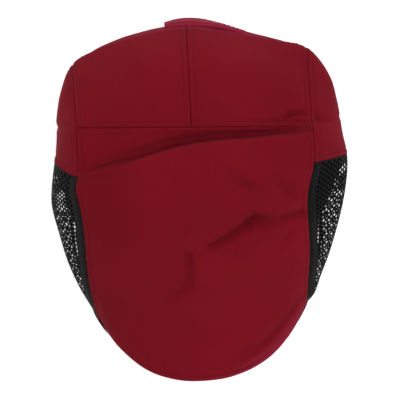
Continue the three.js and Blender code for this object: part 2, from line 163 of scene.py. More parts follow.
# Finer folds pressed into the cloth, each a line of points with their shares across and along, their depth
# and their width. Depth and width are in millimetres.
FOLDS = {
    "crease": (
        (-0.83, -0.053, 0.0, 2.0), (-0.736, -0.025, 0.88, 1.9), (-0.608, 0.024, 2.14, 2.1),
        (-0.511, 0.056, 2.4, 2.2), (-0.345, 0.105, 2.2, 2.2), (-0.163, 0.155, 2.1, 2.2),
        (0.142, 0.185, 2.0, 2.2), (0.564, 0.19, 1.75, 2.0), (0.733, 0.206, 1.36, 2.0),
        (0.9, 0.212, 0.39, 2.0),
    ),
    "slant": (
        (0.05, -0.64, 0.48, 3.0), (0.1, -0.62, 3.04, 3.0), (0.235, -0.561, 3.68, 3.2),
        (0.351, -0.494, 3.68, 3.2), (0.474, -0.437, 3.04, 4.2), (0.624, -0.456, 1.92, 4.2),
        (0.705, -0.43, 2.4, 3.5), (0.842, -0.401, 2.88, 3.0), (0.91, -0.4, 1.28, 3.0),
    ),
    "slant_tail": (
        (0.43, -0.44, 1.6, 3.8), (0.48, -0.36, 0.16, 3.8),
    ),
    "hook": (
        (-0.115, -0.631, 0.8, 3.0), (-0.078, -0.665, 2.56, 3.0), (-0.068, -0.714, 2.88, 3.2),
        (-0.068, -0.787, 2.56, 3.5), (-0.091, -0.903, 2.6, 4.0), (-0.181, -0.95, 1.9, 4.4),
        (-0.3, -0.93, 0.3, 4.4),
    ),
    "faint_left": (
        (-0.185, -0.526, 0.75, 3.4), (-0.087, -0.487, 1.5, 3.1), (0.018, -0.456, 0.45, 3.1),
    ),
    "shade_left": (
        (0.26, -0.05, 0.8, 4.6), (0.363, -0.144, 2.0, 4.6), (0.44, -0.184, 2.5, 4.3),
        (0.52, -0.232, 1.0, 3.6),
    ),
    "shade_right": (
        (0.642, -0.135, 1.0, 4.8), (0.702, -0.197, 2.0, 4.8), (0.755, -0.25, 2.4, 4.3),
        (0.82, -0.29, 0.9, 4.1),
    ),
    "right_low": (
        (0.645, -0.647, 0.6, 3.1), (0.713, -0.57, 1.95, 3.1), (0.773, -0.499, 0.6, 3.1),
    ),
    "pinch": (
        (0.73, 0.28, 0.24, 1.8), (0.751, 0.3, 2.6, 1.8), (0.788, 0.325, 3.0, 1.8),
        (0.876, 0.335, 2.4, 1.8), (0.94, 0.318, 0.6, 1.8),
    ),
    "seam_end": (
        (0.45, 0.277, 0.3, 1.5), (0.64, 0.274, 1.8, 1.6), (0.85, 0.262, 2.4, 1.6),
        (0.955, 0.25, 1.2, 1.6),
    ),
    "pinch_right": (
        (0.98, 0.34, 0.72, 2.2), (1.0, 0.28, 1.92, 2.4), (1.08, 0.262, 0.48, 2.6),
    ),
    "left_fold": (
        (-0.93, -0.075, 0.52, 2.6), (-0.827, -0.07, 1.43, 2.8), (-0.668, -0.06, 1.17, 2.8),
        (-0.5, 0.0, 0.26, 2.8),
    ),
    "left_spot": (
        (-0.88, 0.05, 1.2, 2.6), (-0.84, 0.01, 1.2, 2.6),
    ),
    "side_left": (
        (-0.93, 0.31, 0.8, 2.4), (-1.06, 0.318, 1.1, 2.0), (-1.2, 0.32, 0.3, 1.8),
    ),
    "side_right": (
        (1.02, 0.265, 0.8, 2.6), (1.1, 0.27, 0.8, 2.4), (1.24, 0.295, 0.5, 1.8),
    ),
    "brim": (
        (0.84, -0.93, 0.39, 4.0), (0.75, -1.17, 2.0, 4.4), (0.61, -1.43, 2.4, 4.6),
        (0.44, -1.62, 2.0, 4.8), (0.2, -1.72, 0.4, 4.8),
    ),
}

# Distances forward of the cloth side, and how far out the black lining reaches there, as a share of the
# head's half width
LINING = {
    "left": ((0.0, 1.12), (8.0, 1.09), (15.0, 1.03), (34.0, 1.01), (42.0, 0.9)),
    "right": ((0.0, 1.23), (12.0, 1.16), (22.0, 1.1), (33.0, 1.04), (44.0, 0.98)),
}

# Places along the strap, and its share of the flare there
STRAP = ((4.59, 0.45), (4.92, 0.95), (5.25, 0.95), (5.59, 0.4), (5.88, 0.05), (6.15, 0.0))

# Height of the turned-up hem behind, measured over the cloth, width of the painted sheen band along the
# visor's edge, and how far back the painted shade under the overhanging lip reaches
HEM_BAND = 18.0
PAINTED_SHEEN_EDGE = 5.4
RECESS = 10.0

# How much painted shade darkens seams, rows of stitches and the line along the hem, from 0 to 1, and the
# depth at which a fold's painted shade is as dark as a seam's
SEAM_SHADE = 0.85
STITCH_SHADE = 0.4
HEM_SHADE = 0.5
FULL_FOLD = 3.3

# Height above the floor under which the cloth has no fold
LOWEST_FOLD = 8.0

# How much of the painted sheen colour the turned-up hem shows, standing in for the sheen of its steep cloth
HEM_PAINTED_SHEEN = 0.65

# Places between the hem's section and the roll's, where the cloth behind the strap may stand out furthest
HEM_TO_ROLL = (0, 0.25, 0.5, 0.75)


def size_setting(name, millimetres, description):
    """A length that a user may change."""
    return bpy.props.FloatProperty(
        name=name, description=description, default=millimetres * MM, unit="LENGTH", precision=5)


def colour_setting(name, description, *channels):
    """A colour that a user may change."""
    return bpy.props.FloatVectorProperty(
        name=name, description=description, subtype="COLOR", size=3, default=channels)


class CapSizes(bpy.types.PropertyGroup):
    """Sizes of the cloth, net and thread."""

    seam_depth: size_setting("Seam depth", 0.42, "How deep the cloth rolls into a seam")
    seam_roll: size_setting("Seam roll", 0.75, "Width of the roll of cloth beside a seam")
    stitch_inset: size_setting("Stitch inset", 3.9, "Distance from a seam to its row of topstitching")
    stitch_pitch: size_setting("Stitch pitch", 3.2, "Distance from one stitch to the next")
    stitch_length: size_setting("Stitch length", 2.5, "Length of one stitch that shows")
    thread: size_setting("Thread", 0.38, "Thickness of the sewing thread")
    net_pitch: size_setting("Net pitch", 3.3, "Distance between neighbouring holes of the net")
    net_hole: size_setting("Net hole", 2.25, "Width of one hole of the net")
    net_wall: size_setting("Net wall", 0.4, "Thickness of the net")
    tape_width: size_setting("Tape width", 5.0, "Width of the black tape behind the net's seams")


class CapColours(bpy.types.PropertyGroup):
    """Colours of the cloth, net, thread and floor."""

    twill: colour_setting("Twill", "Colour of the cloth", 0.185, 0.0036, 0.0112)
    # The second colour is a painted sheen highlight: the paler pink that the cloth shows where it turns
    # steeply away, at the visor's right front, the hem and the strap
    painted_sheen_colour: colour_setting("Worn twill", "Colour of the cloth where it is rubbed pale", 0.275, 0.0145, 0.042)
    net: colour_setting("Net", "Colour of the mesh sides", 0.0028, 0.0032, 0.003)
    thread: colour_setting("Thread", "Colour of the topstitching", 0.19, 0.006, 0.016)
    floor: colour_setting("Floor", "Colour of the floor", 0.92, 0.92, 0.92)


def sizes():
    return bpy.context.scene.cap_sizes


def colours():
    return bpy.context.scene.cap_colours


def section_of(name):
    return [row["name"] for row in STRIP].index(name)


def along(share):
    """Distance to the back of the head's centre, from a share of the head's or visor's length."""
    if share >= -1:
        return share * HALF_LENGTH
    return -HALF_LENGTH + (share + 1) * VISOR_LENGTH


def half_width_at(distance, reach, width, squareness):
    """Half the width of a superellipse at a distance from its centre."""
    share = min(1, abs(distance) / reach)
    return width * (1 - share ** squareness) ** (1 / squareness)


def rim_across(y, offset):
    return half_width_at(y, HALF_LENGTH + offset, HALF_WIDTH + offset, HEAD_SQUARENESS)


def rim_along(x, offset):
    return half_width_at(x, HALF_WIDTH + offset, HALF_LENGTH + offset, HEAD_SQUARENESS)


def visor_across(y):
    return half_width_at(VISOR_ROOT - y, VISOR_REACH, HALF_WIDTH, VISOR_SQUARENESS)


def visor_along(x):
    return VISOR_ROOT - half_width_at(x, HALF_WIDTH, VISOR_REACH, VISOR_SQUARENESS)


def visor_edge_up(y):
    """Height of the visor's mid-thickness on its outer edge."""
    share = np.clip((VISOR_ROOT - np.asarray(y, dtype=float)) / VISOR_REACH, 0, 1)
    return VISOR_LIFT + VISOR_WALL / 2 + VISOR_RISE * share ** 0.9


def foot_point(side, y):
    """The lower edge of a side, against the headband or along the visor."""
    offset = CLOTH + GAP
    if y > VISOR_ROOT:
        return [side * rim_across(y, offset), y, HEM_LIFT]
    return [side * max(visor_across(y), rim_across(y, offset)), y, float(visor_edge_up(y))]


def strip_point(row, step):
    """A point of the strip between the seams, at a share of the way from its centre to a seam."""
    side = "left" if step < 0 else "right"
    share = abs(step)
    x = share * row[side + "_across"] * HALF_WIDTH
    if row["name"] == "hem":
        return [x, rim_along(x, CLOTH + GAP), HEM_LIFT]
    if row["name"] == "edge":
        y = visor_along(x)
        return [x, y, float(visor_edge_up(y)) + EDGE_LIP]
    bend = share ** row[side + "_bow"]
    y = along(row["along"]) * (1 - bend) + along(row[side + "_along"]) * bend
    dome = share ** row["dome"]
    z = (row["up"] * (1 - dome) + row["seam_up"] * dome) * CROWN_HEIGHT
    return [x, y, z]


def side_points(row, seam, name):
    """The belly and foot of one side, from its seam downwards."""
    side = -1 if name == "left" else 1
    if row["name"] == "hem":
        return [foot_point(side, along(row[name + part])) for part in ("_along", "_foot")]
    if row["name"] == "edge":
        return [[seam[0], seam[1], seam[2] - n * EDGE_LIP] for n in (1, 2)]
    belly = [
        seam[0] + side * row[name + "_out"] * BULGE[name],
        along(row[name + "_along"]),
        row["up"] * CROWN_HEIGHT,
    ]
    return [belly, foot_point(side, along(row[name + "_foot"]))]


def section_points(strip_row, side_row):
    strip = [strip_point(strip_row, step) for step in STRIP_STEPS]
    left = side_points(side_row, strip[0], "left")
    right = side_points(side_row, strip[-1], "right")
    return left[::-1] + strip + right


def spline(points, at):
    """Centripetal curves through points (curves, count, 3), at (curves, places) counted in points."""
    last = points.shape[1] - 2
    first_end = 2 * points[:, :1] - points[:, 1:2]
    last_end = 2 * points[:, -1:] - points[:, -2:-1]
    padded = np.concatenate([first_end, points, last_end], axis=1)
    index = np.clip(np.floor(at).astype(int), 0, last)
    weight = (at - index)[..., None]
    curve = np.arange(len(points))[:, None]
    p0, p1, p2, p3 = (padded[curve, index + k] for k in range(4))
    step0, step1, step2 = (
        np.sqrt(np.linalg.norm(b - a, axis=-1, keepdims=True)) for a, b in ((p0, p1), (p1, p2), (p2, p3))
    )
    step1 = np.where(step1 < 1e-4, 1.0, step1)
    step0 = np.where(step0 < 1e-4, step1, step0)
    step2 = np.where(step2 < 1e-4, step1, step2)
    start = ((p1 - p0) / step0 - (p2 - p0) / (step0 + step1) + (p2 - p1) / step1) * step1
    end = ((p2 - p1) / step1 - (p3 - p1) / (step1 + step2) + (p3 - p2) / step2) * step1
    square = weight * weight
    cube = square * weight
    return (
        p1
        + start * weight
        + (3 * (p2 - p1) - 2 * start - end) * square
        + (2 * (p1 - p2) + start + end) * cube
    )


SECTIONS = np.array([section_points(*rows) for rows in zip(STRIP, SIDES)])
LINES = np.moveaxis(SECTIONS, 0, 1)
LAST_SECTION = len(STRIP) - 1


def from_line(x, y, start, end):
    """How far places are from a line seen from above, and the share of the way along it."""
    run = np.subtract(end, start)
    share = np.clip(((x - start[0]) * run[0] + (y - start[1]) * run[1]) / run.dot(run), 0, 1)
    return np.hypot(x - start[0] - share * run[0], y - start[1] - share * run[1]), share


def fade(distance, width):
    """1 on a line, and less and less beside it."""
    return np.exp(-(distance / width) ** 2)


def valley_depth(x, y):
    """Depth of the wide valleys at places seen from above."""
    depth = np.zeros_like(x)
    for row in VALLEYS:
        start = (row["from_across"] * HALF_WIDTH, along(row["from_along"]))
        end = (row["to_across"] * HALF_WIDTH, along(row["to_along"]))
        away, _ = from_line(x, y, start, end)
        depth += row["depth"] * CROWN_HEIGHT * fade(away, row["width"] * CROWN_HEIGHT)
    return depth


def fold_depth(x, y):
    """Depth of the fine folds at places seen from above."""
    total = 0
    for points in FOLDS.values():
        fold = 0
        for first, second in zip(points, points[1:]):
            start, end = ((point[0] * HALF_WIDTH, along(point[1])) for point in (first, second))
            away, share = from_line(x, y, start, end)
            deep, wide = (a * (1 - share) + b * share for a, b in zip(first[2:], second[2:]))
            fold = np.maximum(fold, deep * fade(away, wide))
        total = total + fold
    return total


def crown(section, place):
    """Points of the crown's outer surface, for sections (rows,) and places (rows, columns)."""
    columns = spline(LINES, np.broadcast_to(section, (len(LINES), len(section))))
    points = spline(np.moveaxis(columns, 0, 1), place)
    inner = (place > LEFT_SEAM) & (place < RIGHT_SEAM) & (section[:, None] > section_of("seam"))
    from_centre = np.abs(place - CENTRE) / (CENTRE - LEFT_SEAM)
    sunk = valley_depth(points[..., 0], points[..., 1]) * (1 - from_centre ** 4)
    points[..., 2] -= np.where(inner, sunk, 0)
    return points


def surface(section, place):
    """Points and outward directions of the crown at sections and places of the same shape."""
    step = 0.02
    low, high = place.min(), place.max()

    def at(section_step, place_step):
        sections = np.clip(section + section_step, 0, LAST_SECTION)
        places = np.clip(place + place_step, low, high)
        return crown(sections.ravel(), places.reshape(-1, 1)).reshape(*section.shape, 3)

    facing = np.cross(at(step, 0) - at(-step, 0), at(0, step) - at(0, -step))
    return at(0, 0), facing / np.maximum(np.linalg.norm(facing, axis=-1, keepdims=True), 1e-9)


def undulation(points, seed, shortest, longest, height):
    """Gentle uneven waves over points, the same in every run."""
    waves = 9
    rng = np.random.default_rng(seed)
    total = np.zeros(points.shape[:-1])
    for _ in range(waves):
        direction = rng.normal(size=3)
        direction /= np.linalg.norm(direction)
        length = rng.uniform(shortest, longest)
        total += np.sin(2 * math.pi * (points @ direction) / length + rng.uniform(0, 2 * math.pi))
    return total * height / math.sqrt(waves / 2)


def distances(points, axis):
    """Distance along each line of a grid from its start."""
    steps = np.linalg.norm(np.diff(points, axis=axis), axis=-1)
    total = np.cumsum(steps, axis=axis)
    return np.concatenate([np.zeros_like(total.take([0], axis=axis)), total], axis=axis)


def normals(points):
    """Outward directions of a grid whose rows run forward and columns to the right."""
    forward = np.gradient(points, axis=0)
    sideways = np.gradient(points, axis=1)
    facing = np.cross(forward, sideways)
    return facing / np.maximum(np.linalg.norm(facing, axis=-1, keepdims=True), 1e-9)


# Distances from a seam at which a panel has a line of points, so that its roll and stitches are round
EDGE_LINES = (0.04, 0.25, 0.5, 0.8, 1.2, 1.8, 2.5, 3.0, 3.5, 3.9, 4.3, 4.8, 5.6, 6.8, 8.2)


def spread_places(section, from_place, to_place, count):
    """Places across each section: close together beside the two seams and even between them."""
    samples = 161
    fine = np.broadcast_to(np.linspace(from_place, to_place, samples), (len(section), samples))
    run = distances(crown(section, fine), 1)
    places = np.empty((len(section), 2 * len(EDGE_LINES) + count))
    for i, length in enumerate(run[:, -1]):
        near = np.array(EDGE_LINES) * min(1.0, length / (2.6 * EDGE_LINES[-1]))
        between = np.linspace(near[-1], length - near[-1], count + 2)[1:-1]
        wanted = np.concatenate([near, between, length - near[::-1]])
        places[i] = np.interp(wanted, run[i], fine[i])
    return places


def spread_sections(from_section, to_section, spacing, back_fine, front_fine):
    """Sections from back to front, close together beside a seam and about evenly spaced between."""
    samples = 241
    middle = np.linspace(from_section, to_section, samples)
    points = crown(middle, np.full((len(middle), 1), float(CENTRE)))
    run = distances(points, 0)[:, 0]
    near = np.array(EDGE_LINES)
    start = near if back_fine else near[:1] * 0
    finish = near if front_fine else near[:1] * 0
    count = int((run[-1] - start[-1] - finish[-1]) / spacing)
    between = np.linspace(start[-1], run[-1] - finish[-1], count + 2)[1:-1]
    return np.interp(np.concatenate([start, between, run[-1] - finish[::-1]]), run, middle)


def seam_relief(distance):
    """Height of the cloth beside a seam: rolled into it, plump over its turned edge, sunk at the stitches."""
    plump_height, rut_depth, rut_width = 0.22, 0.32, 0.7
    s = sizes()
    roll = s.seam_roll / MM
    inset = s.stitch_inset / MM
    rolled = s.seam_depth / MM * np.clip(1 - distance / roll, 0, 1) ** 1.8
    plump = plump_height * np.sin(math.pi * np.clip((distance - roll) / (inset - roll), 0, 1)) ** 2
    return plump - rolled - rut_depth * fade(distance - inset, rut_width)


def pucker(distance, lengthwise, seed):
    """Small gathers that the stitching draws into the cloth beside a seam."""
    height, middle, width = 0.07, 3.0, 3.6
    shortest, longest = 5.5, 13.0
    rng = np.random.default_rng(seed)
    wave = sum(
        np.sin(2 * math.pi * lengthwise / rng.uniform(shortest, longest) + rng.uniform(0, 2 * math.pi))
        for _ in range(4)
    )
    return height * wave * fade(distance - middle, width)


def hem_relief(distance):
    """Height of the cloth by its turned-up hem: a groove along the hem's top, and fullness above it."""
    groove, groove_width, fullness, reach = 0.6, 1.3, 0.5, 6.0
    above = distance - HEM_BAND
    return fullness * fade(above, reach) * (above > 0) - groove * fade(above, groove_width)


def painted_edge_sheen(points):
    """How much painted sheen lightens the cloth along the right front of the visor, from 0 to 1."""
    most, soft_width = 0.8, 3.0
    x, y = points[..., 0], points[..., 1]
    out = np.abs(x / HALF_WIDTH) ** VISOR_SQUARENESS
    out += np.clip((VISOR_ROOT - y) / VISOR_REACH, 0, 2) ** VISOR_SQUARENESS
    inset = (1 - out ** (1 / VISOR_SQUARENESS)) * HALF_WIDTH
    share = x / HALF_WIDTH
    width = PAINTED_SHEEN_EDGE * np.clip((share + 0.05) / 0.4, 0, 1) * np.clip((0.95 - share) / 0.25, 0, 1)
    return most * np.clip((width - inset) / soft_width, 0, 1) * (y < VISOR_ROOT)


def recess_shade(points, lip):
    """How much less light reaches the cloth behind the overhanging lip, from 0 to 1."""
    behind = points[..., 1] - lip[:, 1]
    level = np.interp(points[..., 0] / HALF_WIDTH, (-0.9, -0.7, -0.4, 0.9), (0.1, 0.4, 0.75, 0.8))
    return level * np.clip(behind, 0, 1) * np.clip((RECESS - behind) / 3, 0, 1)


def slope_shade(points):
    """How much less light reaches the left of the top panel, where it slopes away, from 0 to 1."""
    left = np.clip((-0.37 - points[..., 0] / HALF_WIDTH) / 0.33, 0, 1)
    ahead = np.interp(points[..., 1] / HALF_LENGTH, (-1.45, -1.05, -0.1, 0.05), (0, 1, 1, 0))
    return 0.4 * left * ahead


def new_object(name, verts, faces):
    mesh = bpy.data.meshes.new(name)
    mesh.from_pydata((np.asarray(verts) * MM).tolist(), [], faces)
    mesh.update()
    obj = bpy.data.objects.new(name, mesh)
    bpy.context.scene.collection.objects.link(obj)
    return obj


def only(obj):
    """Leaves one object selected and active."""
    bpy.ops.object.select_all(action="DESELECT")
    obj.select_set(True)
    bpy.context.view_layer.objects.active = obj


def smooth_by_angle(obj, degrees):
    only(obj)
    bpy.ops.object.shade_smooth_by_angle(angle=math.radians(degrees))


def apply_modifier(obj, kind, **settings):
    only(obj)
    modifier = obj.modifiers.new(kind.title(), kind)
    for key, value in settings.items():
        setattr(modifier, key, value)
    bpy.ops.object.modifier_apply(modifier=modifier.name)


def round_edges(obj, width):
    apply_modifier(
        obj, "BEVEL", width=width * MM, segments=3, limit_method="ANGLE", angle_limit=math.radians(50))
    smooth_by_angle(obj, 40)


def join(parts, name):
    only(parts[0])
    for part in parts[1:]:
        part.select_set(True)
    bpy.ops.object.join()
    obj = bpy.context.object
    obj.name = name
    obj.data.name = name
    return obj


def dress(obj, finish, node=None):
    """Gives a piece its finish, hangs it under the root body and hides the solid that it stands for."""
    obj.data.materials.append(material(finish))
    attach(obj, "root")
    if node:
        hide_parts(node)


def add_uv(obj, uv):
    """Cloth coordinates in metres, one pair for each vertex."""
    layer = obj.data.uv_layers.new(name="cloth")
    corners = np.empty(len(obj.data.loops), dtype=np.int32)
    obj.data.loops.foreach_get("vertex_index", corners)
    layer.data.foreach_set("uv", (np.asarray(uv)[corners] * MM).astype(np.float32).ravel())


def add_attribute(obj, name, values):
    layer = obj.data.attributes.new(name, "FLOAT", "POINT")
    layer.data.foreach_set("value", np.asarray(values, dtype=np.float32).ravel())


def shell_faces(rows, columns):
    """Faces of a closed wall between an outer and an inner grid of points."""
    index = np.arange(2 * rows * columns).reshape(2, rows, columns)
    outer, inner = index
    faces = []

    def quads(a, b, c, d):
        faces.extend(np.stack([a, b, c, d], axis=-1).reshape(-1, 4).tolist())

    quads(outer[:-1, :-1], outer[1:, :-1], outer[1:, 1:], outer[:-1, 1:])
    quads(inner[:-1, :-1], inner[:-1, 1:], inner[1:, 1:], inner[1:, :-1])
    quads(outer[:-1, 0], inner[:-1, 0], inner[1:, 0], outer[1:, 0])
    quads(outer[1:, -1], inner[1:, -1], inner[:-1, -1], outer[:-1, -1])
    quads(outer[0, 1:], inner[0, 1:], inner[0, :-1], outer[0, :-1])
    quads(outer[-1, :-1], inner[-1, :-1], inner[-1, 1:], outer[-1, 1:])
    return faces


def shell(name, outer, inner, uv, shade, pale=None):
    """A closed sheet of cloth between two grids."""
    rows, columns = outer.shape[:2]
    verts = np.concatenate([outer.reshape(-1, 3), inner.reshape(-1, 3)])
    obj = new_object(name, verts, shell_faces(rows, columns))
    flat_uv = uv.reshape(-1, 2)
    add_uv(obj, np.concatenate([flat_uv, flat_uv]))
    dark = shade.reshape(-1)
    add_attribute(obj, "shade", np.concatenate([dark, dark]))
    if pale is not None:
        add_attribute(obj, "pale", np.concatenate([pale.reshape(-1), dark * 0]))
    smooth_by_angle(obj, 50)
    return obj


def visor_curve(sign, turn, inset):
    """A line inside the visor's edge, from its tip at turn 0 to its sides."""
    power = 2 / VISOR_SQUARENESS
    x = sign * (HALF_WIDTH - inset) * np.sin(turn) ** power
    return x, VISOR_ROOT - (VISOR_REACH - inset) * np.cos(turn) ** power


def rim_curve(turn, offset):
    """A line outside the head opening's rim, counted round from the right."""
    power = 2 / HEAD_SQUARENESS
    c, s = np.cos(turn), np.sin(turn)
    x = (HALF_WIDTH + offset) * np.sign(c) * np.abs(c) ** power
    y = (HALF_LENGTH + offset) * np.sign(s) * np.abs(s) ** power
    return x, y


def wrap_rows(last_row):
    """Rows that carry the top panel's front edge round the visor and a little way under it."""
    x = last_row[:, 0]
    turn = np.arcsin(np.clip(np.abs(x) / HALF_WIDTH, 0, 1) ** (VISOR_SQUARENESS / 2))
    radius = VISOR_WALL / 2 + GAP + CLOTH
    under = 6.0
    turns = np.radians((22, 4, -16, -38, -62, -90))
    profile = [(radius * (1 - math.cos(min(a, 0))), radius * math.sin(a)) for a in turns]
    profile += [(radius + under * share, -radius) for share in (0.35, 0.7, 1.0)]
    middle = visor_edge_up(last_row[:, 1])
    return np.array([
        np.stack([*visor_curve(np.sign(x), turn, inset), middle + up], axis=-1) for inset, up in profile
    ])


# The grids of each panel, by its name
PANELS = {}

# How much cloth there must be past a row of stitches
NARROWEST = 4.0


def panel_shade(base, facing, folded, nearest, lip_at, lip_end):
    """How much less light reaches the cloth in seams, stitches and folds and by the lip, from 0 to 1.

    lip_at and lip_end are the rows on the lip and past it, or None for a panel that has no lip.
    """
    inset = sizes().stitch_inset / MM
    shade = np.maximum.reduce([
        SEAM_SHADE * fade(nearest, 0.5),
        STITCH_SHADE * fade(nearest - inset, 0.4),
        SEAM_SHADE * np.clip(folded / FULL_FOLD, 0, 1) ** 1.6,
    ])
    if lip_at is None:
        return shade
    wall = SEAM_SHADE * np.clip((facing[..., 1] - 0.55) / 0.3, 0, 1)
    wall[lip_end:] = 0
    shade = np.maximum.reduce([shade, wall, recess_shade(base, base[lip_at])])
    return np.minimum(shade + slope_shade(base), 1)


def panel(name, node, sections, places, seams, seed, front_wrap=False, hem=()):
    """Builds one cloth panel on the crown and keeps its grids for the stitching.

    seams names the panel's sewn edges (back, front, left or right), each with the seed of its gathers.
    hem names the edges that lie on the hem.
    """
    base = crown(sections, places)
    lip_at = lip_end = None
    if front_wrap:
        base = np.concatenate([base, wrap_rows(base[-1])])
        lip_at, lip_end = np.searchsorted(sections, (section_of("lip"), section_of("lip") + 0.4))
    facing = normals(base)
    across = distances(base, 1)
    down = distances(base, 0)
    gap_to = {
        "left": across,
        "right": across[:, -1:] - across,
        "back": down,
        "front": down[-1:] - down,
    }
    relief = np.zeros(base.shape[:2])
    nearest = np.full(base.shape[:2], 1e3)
    for edge, gathers in seams.items():
        away = gap_to[edge]
        lengthwise = down if edge in ("left", "right") else across
        relief += seam_relief(away) + pucker(away, lengthwise, gathers)
        nearest = np.minimum(nearest, away)
    folded = fold_depth(base[..., 0], base[..., 1]) * (base[..., 2] > LOWEST_FOLD)
    # Painted shade in seams, rows of stitches, folds, on the lip's wall and in the recess behind it
    shade = panel_shade(base, facing, folded, nearest, lip_at, lip_end)
    # pale is a painted sheen highlight along the visor's right front edge
    pale = painted_edge_sheen(base)
    if hem:
        from_hem = np.minimum.reduce([gap_to[edge] for edge in hem])
        relief += hem_relief(from_hem) * np.clip(nearest / 3, 0.4, 1)
        # Painted sheen on the steep hem below its line, and painted shade in the groove along the line
        pale = HEM_PAINTED_SHEEN * np.clip((HEM_BAND - from_hem) / 1.5, 0, 1)
        shade = np.maximum(shade, HEM_SHADE * fade(from_hem - HEM_BAND, 0.8))
    soft = undulation(base, seed, 16, 48, 0.16) + undulation(base, seed + 50, 60, 140, 0.35) - folded
    soft *= np.clip(nearest / 4, 0, 1)
    outer = base + facing * (relief + soft)[..., None]
    inner = base + facing * (soft - CLOTH)[..., None]
    uv = np.stack([across - across[:, -1:] / 2, -down], axis=-1)
    obj = shell(name, outer, inner, uv, shade, pale)
    PANELS[name] = {"outer": outer, "facing": facing, "gap_to": gap_to}
    dress(obj, "twill", node)
    return obj


def point_at(distance, run, points):
    """The point at a distance along a line of points."""
    return [np.interp(distance, run, points[:, k]) for k in range(3)]


def line_on(name, edge, distance):
    """The line on a panel's face that runs at a distance from one of its edges, with its normals."""
    data = PANELS[name]
    away, outer, facing = data["gap_to"][edge], data["outer"], data["facing"]
    if edge in ("back", "front"):
        away = away.T
        outer, facing = outer.swapaxes(0, 1), facing.swapaxes(0, 1)
    points, ups = [], []
    for run, row, up in zip(away, outer, facing):
        if run.max() < distance + NARROWEST:
            continue
        if run[-1] < run[0]:
            run, row, up = run[::-1], row[::-1], up[::-1]
        points.append(point_at(distance, run, row))
        ups.append(point_at(distance, run, up))
    return np.array(points), np.array(ups)


def stitch_template():
    """One stitch along X: four rings and two tips, a little arched."""
    rings = ((-0.46, 0.6), (-0.22, 1.0), (0.22, 1.0), (0.46, 0.6))
    sides = 6
    verts = [(-0.5, 0.0, -0.35)]
    for x, size in rings:
        for n in range(sides):
            turn = 2 * math.pi * n / sides
            verts.append((x, 0.5 * size * math.cos(turn), 0.5 * size * math.sin(turn) - 1.3 * x * x))
    verts.append((0.5, 0.0, -0.35))
    faces = [[0, 1 + (n + 1) % sides, 1 + n] for n in range(sides)]
    for ring in range(len(rings) - 1):
        first = 1 + ring * sides
        for n in range(sides):
            m = (n + 1) % sides
            faces.append([first + n, first + m, first + sides + m, first + sides + n])
    last = 1 + (len(rings) - 1) * sides
    faces += [[len(verts) - 1, last + n, last + (n + 1) % sides] for n in range(sides)]
    return np.array(verts), faces


STITCH_VERTS, STITCH_FACES = stitch_template()


def stitches(lines):
    """Vertices and faces of the stitches along lines of points with their normals."""
    s = sizes()
    pitch, length, thread = (value / MM for value in (s.stitch_pitch, s.stitch_length, s.thread))
    verts, faces = [], []
    for points, ups in lines:
        run = distances(points, 0)
        count = int(run[-1] / pitch)
        for n in range(count):
            middle = (n + 0.5) * run[-1] / count
            start, centre, end = (
                np.array(point_at(middle + half, run, points)) for half in (-length / 2, 0, length / 2)
            )
            forward = (end - start) / np.linalg.norm(end - start)
            side = np.cross(point_at(middle, run, ups), forward)
            side /= np.linalg.norm(side)
            up = np.cross(forward, side)
            sized = STITCH_VERTS * (length, thread, thread)
            first = len(verts) * len(STITCH_VERTS)
            verts.append(centre + sized @ np.array([forward, side, up]) + up * thread * 0.3)
            faces += [[first + k for k in face] for face in STITCH_FACES]
    return np.concatenate(verts), faces


def sew(name, lines, finish):
    verts, faces = stitches([line for line in lines if len(line[0]) > 3])
    obj = new_object(name, verts, faces)
    smooth_by_angle(obj, 60)
    dress(obj, finish)


def grid_piece(name, points):
    """A grid primitive whose points are moved to a grid of places, rows by columns."""
    rows, columns = points.shape[:2]
    bpy.ops.object.select_all(action="DESELECT")
    bpy.ops.mesh.primitive_grid_add(x_subdivisions=columns - 1, y_subdivisions=rows - 1, size=2)
    obj = bpy.context.object
    obj.name = name
    obj.data.name = name
    co = np.empty(len(obj.data.vertices) * 3)
    obj.data.vertices.foreach_get("co", co)
    co = co.reshape(-1, 3)
    j = np.rint((co[:, 0] + 1) / 2 * (columns - 1)).astype(int)
    i = np.rint((1 - co[:, 1]) / 2 * (rows - 1)).astype(int)
    obj.data.vertices.foreach_set("co", (points[i, j] * MM).ravel())
    while obj.data.uv_layers:
        obj.data.uv_layers.remove(obj.data.uv_layers[0])
    across, down = distances(points, 1), distances(points, 0)
    add_uv(obj, np.stack([across[i, j], -down[i, j]], axis=-1))
    obj.data.update()
    return obj


def edit_all(obj, *steps):
    """Takes mesh operators with their settings, and runs them on the whole of a piece."""
    only(obj)
    bpy.ops.object.mode_set(mode="EDIT")
    bpy.ops.mesh.select_all(action="SELECT")
    for operator, settings in steps:
        operator(**settings)
    bpy.ops.object.mode_set(mode="OBJECT")


def merge_doubles(obj, distance):
    edit_all(
        obj,
        (bpy.ops.mesh.remove_doubles, {"threshold": distance * MM}),
        (bpy.ops.mesh.dissolve_degenerate, {"threshold": 0.01 * MM}),
    )


